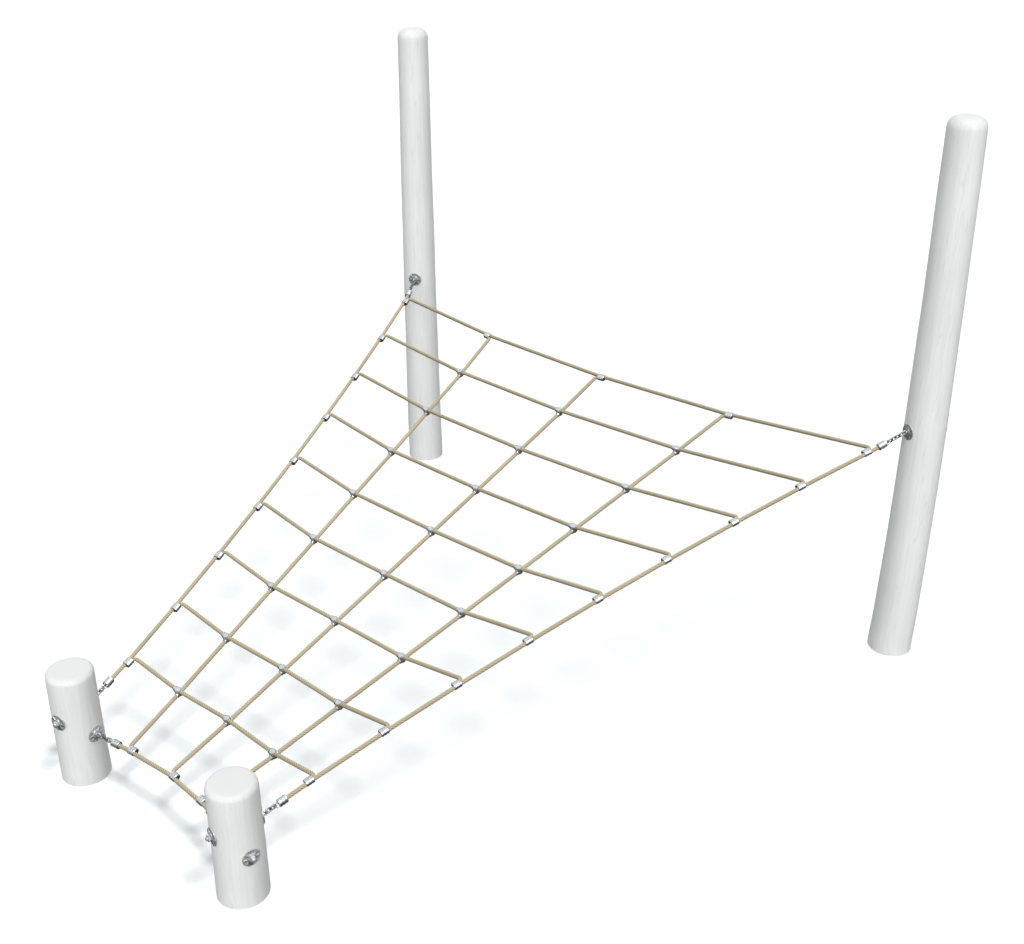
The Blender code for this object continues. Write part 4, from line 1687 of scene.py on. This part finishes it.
# ---------------------------------------------------------------- posts
@dataclass
class Trunk:
    """Peeled round post, slightly bowed, with flats cut for the discs."""

    row: Row
    side: Side
    foot_diameter: float
    top_diameter: float
    bow: float
    edge: float
    foot_straight: float = 0.060
    bow_height: float = 0.38
    segments: int = 96
    ring_spacing: float = 0.014
    swell: float = 0.0016             # slow waves of the trunk's surface
    swell_pace: float = 0.9           # waves round the trunk
    swell_rise: float = 2.6           # waves along it, for each metre
    tool_marks: float = 0.00035       # finer waves left by the peeling
    marks_pace: float = 9.0
    marks_rise: float = 2.0
    seat_radius: float = 0.036
    cutter_length: float = 0.05
    cutter_segments: int = 48
    smooth_angle: float = 40.0        # degrees
    edge_steps: int = 7
    top_rings: Triple = (0.3, 0.6, 0.85)     # on the flat of the top, from rim to middle

    @property
    def node(self) -> str:
        """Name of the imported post."""
        return f"{self.row.value}_post_{self.side.word}"

    @property
    def foot(self) -> Vector:
        """Middle of the post's foot, which the record states as a mount.

        Returns:
            The point.
        """
        name = f"{self.row.value}_post_foot_{self.side.word}"
        mount = next(mount for mount in frame["record"]["mounts"] if mount["name"] == name)
        return Vector(mount["pos_m"])

    def middle(self, height: float, total: float) -> Vector:
        """Middle of the trunk at a height.

        Args:
            height: The height.
            total: The post's whole height.

        Returns:
            The point.
        """
        rise = max(0.0, height - self.foot_straight) / (total - self.foot_straight)
        power = math.log(0.5) / math.log(self.bow_height)
        offset = self.side.value * self.bow * math.sin(math.pi * min(1.0, rise) ** power)
        return self.foot + Vector((offset, 0, height))

    def mesh(self) -> bpy.types.Mesh:
        """Make the trunk with its uneven surface and rounded rim.

        Returns:
            Its mesh.
        """
        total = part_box(self.node)[1].z
        shoulder = total - self.edge
        count = round(shoulder / self.ring_spacing)
        sections = [(shoulder * step / count, 0.0) for step in range(count + 1)]
        for step in range(1, self.edge_steps + 1):
            angle = QUARTER_TURN * step / self.edge_steps
            sections.append((shoulder + self.edge * math.sin(angle),
                             self.edge * (1 - math.cos(angle))))
        for share in self.top_rings:
            inner = (self.top_diameter / 2 - self.edge) * share
            sections.append((total, self.edge + inner))
        shape = bmesh.new()
        rows = []
        for height, inset in sections:
            middle = self.middle(height, total)
            radius = (self.foot_diameter + (self.top_diameter - self.foot_diameter)
                      * height / total) / 2 - inset
            row = []
            for step in range(self.segments):
                angle = math.tau * step / self.segments
                way = Vector((math.cos(angle), math.sin(angle), 0))
                wave = noise.noise(way * self.swell_pace + Vector((
                    self.foot.x * 7, self.foot.y * 5, height * self.swell_rise)))
                marks = noise.noise(way * self.marks_pace + Vector((
                    self.foot.x, self.foot.y, height * self.marks_rise)))
                fade = max(0.0, 1 - inset / self.edge)
                uneven = (self.swell * wave + self.tool_marks * marks) * fade
                row.append(shape.verts.new(middle + way * (radius + uneven)))
            rows.append(row)
        for first, second in zip(rows, rows[1:]):
            for step in range(self.segments):
                after = (step + 1) % self.segments
                shape.faces.new([first[step], first[after], second[after], second[step]])
        shape.faces.new(rows[0][::-1])
        shape.faces.new(rows[-1])
        bmesh.ops.recalc_face_normals(shape, faces=shape.faces)
        return baked(shape, "trunk")

    def cut_seats(self, mesh: bpy.types.Mesh, places: list[AnchorPlace]) -> bpy.types.Mesh:
        """Cut the flat seats of the discs into the trunk.

        Args:
            mesh: The trunk.
            places: The anchors on this post.

        Returns:
            The cut trunk.
        """
        trunk = placed("trunk", mesh)
        profile = [(0.0, 0.0), (0.0, self.seat_radius), (self.cutter_length, self.seat_radius),
                   (self.cutter_length, 0.0)]
        cutters = []
        for place in places:
            for piece, way in place.disc_ways:
                seat = place.on_post(place.node_name(piece), way, TOUCH_GAP)
                tool = turned(profile, self.cutter_segments)
                cutter = placed("cutter", moved(tool, seat))
                modifier = trunk.modifiers.new("seat", "BOOLEAN")
                modifier.operation = "DIFFERENCE"
                modifier.object = cutter
                cutters.append(cutter)
        depsgraph = bpy.context.evaluated_depsgraph_get()
        result = bpy.data.meshes.new_from_object(trunk.evaluated_get(depsgraph))
        trunk.modifiers.clear()
        for spare in (trunk, *cutters):
            bpy.data.objects.remove(spare)
        return result

    def build(self) -> bpy.types.Object:
        """Show the post.

        Returns:
            Its object.
        """
        kinds = [Kind.TALL] if self.row is Row.TALL else [Kind.SIDE, Kind.BOTTOM]
        mesh = self.cut_seats(self.mesh(), [PLACES[(kind, self.side)] for kind in kinds])
        material = TimberFinish(f"timber_{self.node}", middle=tuple(self.foot)).material()
        piece = show(f"{self.node}_trunk", smoothed(mesh, self.smooth_angle), "root",
                     [self.node], material)
        piece.visible_shadow = False
        return piece


# ---------------------------------------------------------------- studio
@dataclass
class Studio:
    """Floor, lights and camera."""

    floor_size: float = 60.0
    camera_place: Triple = (3.7165, -3.6576, 3.6409)
    camera_pitch: float = 62.80
    camera_turn: float = 41.42
    lens: float = 48.01
    sensor: float = 36.0
    sun_from: Triple = (0.58, -0.04, 1.0)
    sun_strength: float = 2.9
    sun_spread: float = 13.0
    front_fill_from: Triple = (0.62, -0.78, 0.45)
    front_fill_strength: float = 3.95
    back_fill_from: Triple = (-0.62, 0.78, 0.05)
    back_fill_strength: float = 2.3
    fill_spread: float = 100.0
    backdrop: Colour = (1.05, 1.05, 1.05, 1.0)
    sky: Colour = (0.77, 0.795, 0.81, 1.0)
    horizon: Colour = (0.36, 0.37, 0.385, 1.0)
    below: Colour = (0.07, 0.073, 0.076, 1.0)
    sky_height: Range = (0.05, 0.6)       # where the horizon's tone turns to the sky's
    ground_height: Range = (-0.12, 0.02)  # where the tone below turns to the horizon's

    def build(self) -> None:
        """Set the stage."""
        bpy.ops.mesh.primitive_plane_add(size=self.floor_size)
        floor = bpy.context.object
        floor.name = "floor"
        floor.data.materials.append(FloorFinish("studio_floor").material())
        floor.visible_diffuse = False
        floor.visible_glossy = False
        self.add_sun("sun", self.sun_from, self.sun_strength, self.sun_spread)
        self.add_sky()
        self.add_camera()
        bpy.context.scene.view_settings.view_transform = "Standard"

    def add_sun(self, name: str, way: Triple, strength: float,
                spread: float) -> bpy.types.Object:
        """Add a distant light.

        Args:
            name: Its name.
            way: The direction that it shines from.
            strength: Its strength.
            spread: Its width in degrees, which softens its shadows.

        Returns:
            The light's object.
        """
        light = bpy.data.lights.new(name, "SUN")
        light.energy = strength
        light.angle = math.radians(spread)
        sun = placed(name, light)
        sun.rotation_euler = Vector(way).to_track_quat("Z", "Y").to_euler()
        return sun

    def light_posts(self, posts: list[bpy.types.Object]) -> None:
        """Light the posts with two soft fills of their own, and take the sun off them.

        Args:
            posts: The posts.
        """
        receivers = bpy.data.collections.new("posts")
        others = bpy.data.collections.new("all_but_posts")
        for post in posts:
            receivers.objects.link(post)
            others.objects.link(post)
        for entry in others.collection_objects:
            entry.light_linking.link_state = "EXCLUDE"
        for name, way, strength in (
                ("front_fill", self.front_fill_from, self.front_fill_strength),
                ("back_fill", self.back_fill_from, self.back_fill_strength)):
            fill = self.add_sun(name, way, strength, self.fill_spread)
            fill.light_linking.receiver_collection = receivers
        bpy.data.objects["sun"].light_linking.receiver_collection = others

    def add_sky(self) -> None:
        """Add a pale dome with a darker underside, which shades the pieces from below."""
        world = bpy.data.worlds.new("sky")
        world.use_nodes = True
        bpy.context.scene.world = world
        graph = Graph(world.node_tree)
        way = graph.add("ShaderNodeTexCoord").outputs["Generated"]
        height = graph.part(way, "Z")
        above = graph.blend(graph.remap(height, self.sky_height), self.horizon, self.sky)
        whole = graph.blend(graph.remap(height, self.ground_height), self.below, above)
        direct = graph.add("ShaderNodeLightPath").outputs["Is Camera Ray"]
        graph.feed(graph.tree.nodes["Background"],
                   {"Color": graph.blend(direct, whole, self.backdrop)})

    def add_camera(self) -> None:
        """Add the camera."""
        data = bpy.data.cameras.new("camera")
        data.lens = self.lens
        data.sensor_width = self.sensor
        camera = placed("camera", data)
        camera.location = self.camera_place
        camera.rotation_euler = (math.radians(self.camera_pitch), 0, math.radians(self.camera_turn))
        bpy.context.scene.camera = camera


TRUNKS = [
    Trunk(Row.TALL, Side.LEFT, 0.196, 0.156, 0.006, 0.045),
    Trunk(Row.TALL, Side.RIGHT, 0.196, 0.156, 0.016, 0.045),
    Trunk(Row.LOW, Side.LEFT, 0.196, 0.188, 0.003, 0.022),
    Trunk(Row.LOW, Side.RIGHT, 0.196, 0.188, 0.002, 0.022),
]


def main() -> None:
    """Build every piece of the net, then the studio."""
    logging.basicConfig(level=logging.INFO, format="%(message)s")
    studio = Studio()
    studio.build()
    aluminium = AluminiumFinish("pressed_aluminium").material()
    steel = GalvanisedFinish("galvanised_steel").material()
    ropes = NetRopes(RopeFinish("twisted_rope").material())
    ferrules, clamps = ropes.build()
    copier = Copier()
    PressedFerrules(aluminium, copier).build(ferrules)
    CrossingClamps(aluminium, copier).build(clamps, ropes.columns)
    chain_steel = GalvanisedFinish("chain_steel", light=(0.42, 0.43, 0.44, 1.0),
                                   dark=(0.16, 0.165, 0.17, 1.0), metal=1.0).material()
    makers = [EyeBolt(steel), RibbedDisc(steel), CapNut(steel), Chain(chain_steel),
              EndFitting(aluminium)]
    for place in PLACES.values():
        for maker in makers:
            maker.build(place)
    studio.light_posts([trunk.build() for trunk in TRUNKS])


if __name__ == "__main__":
    main()
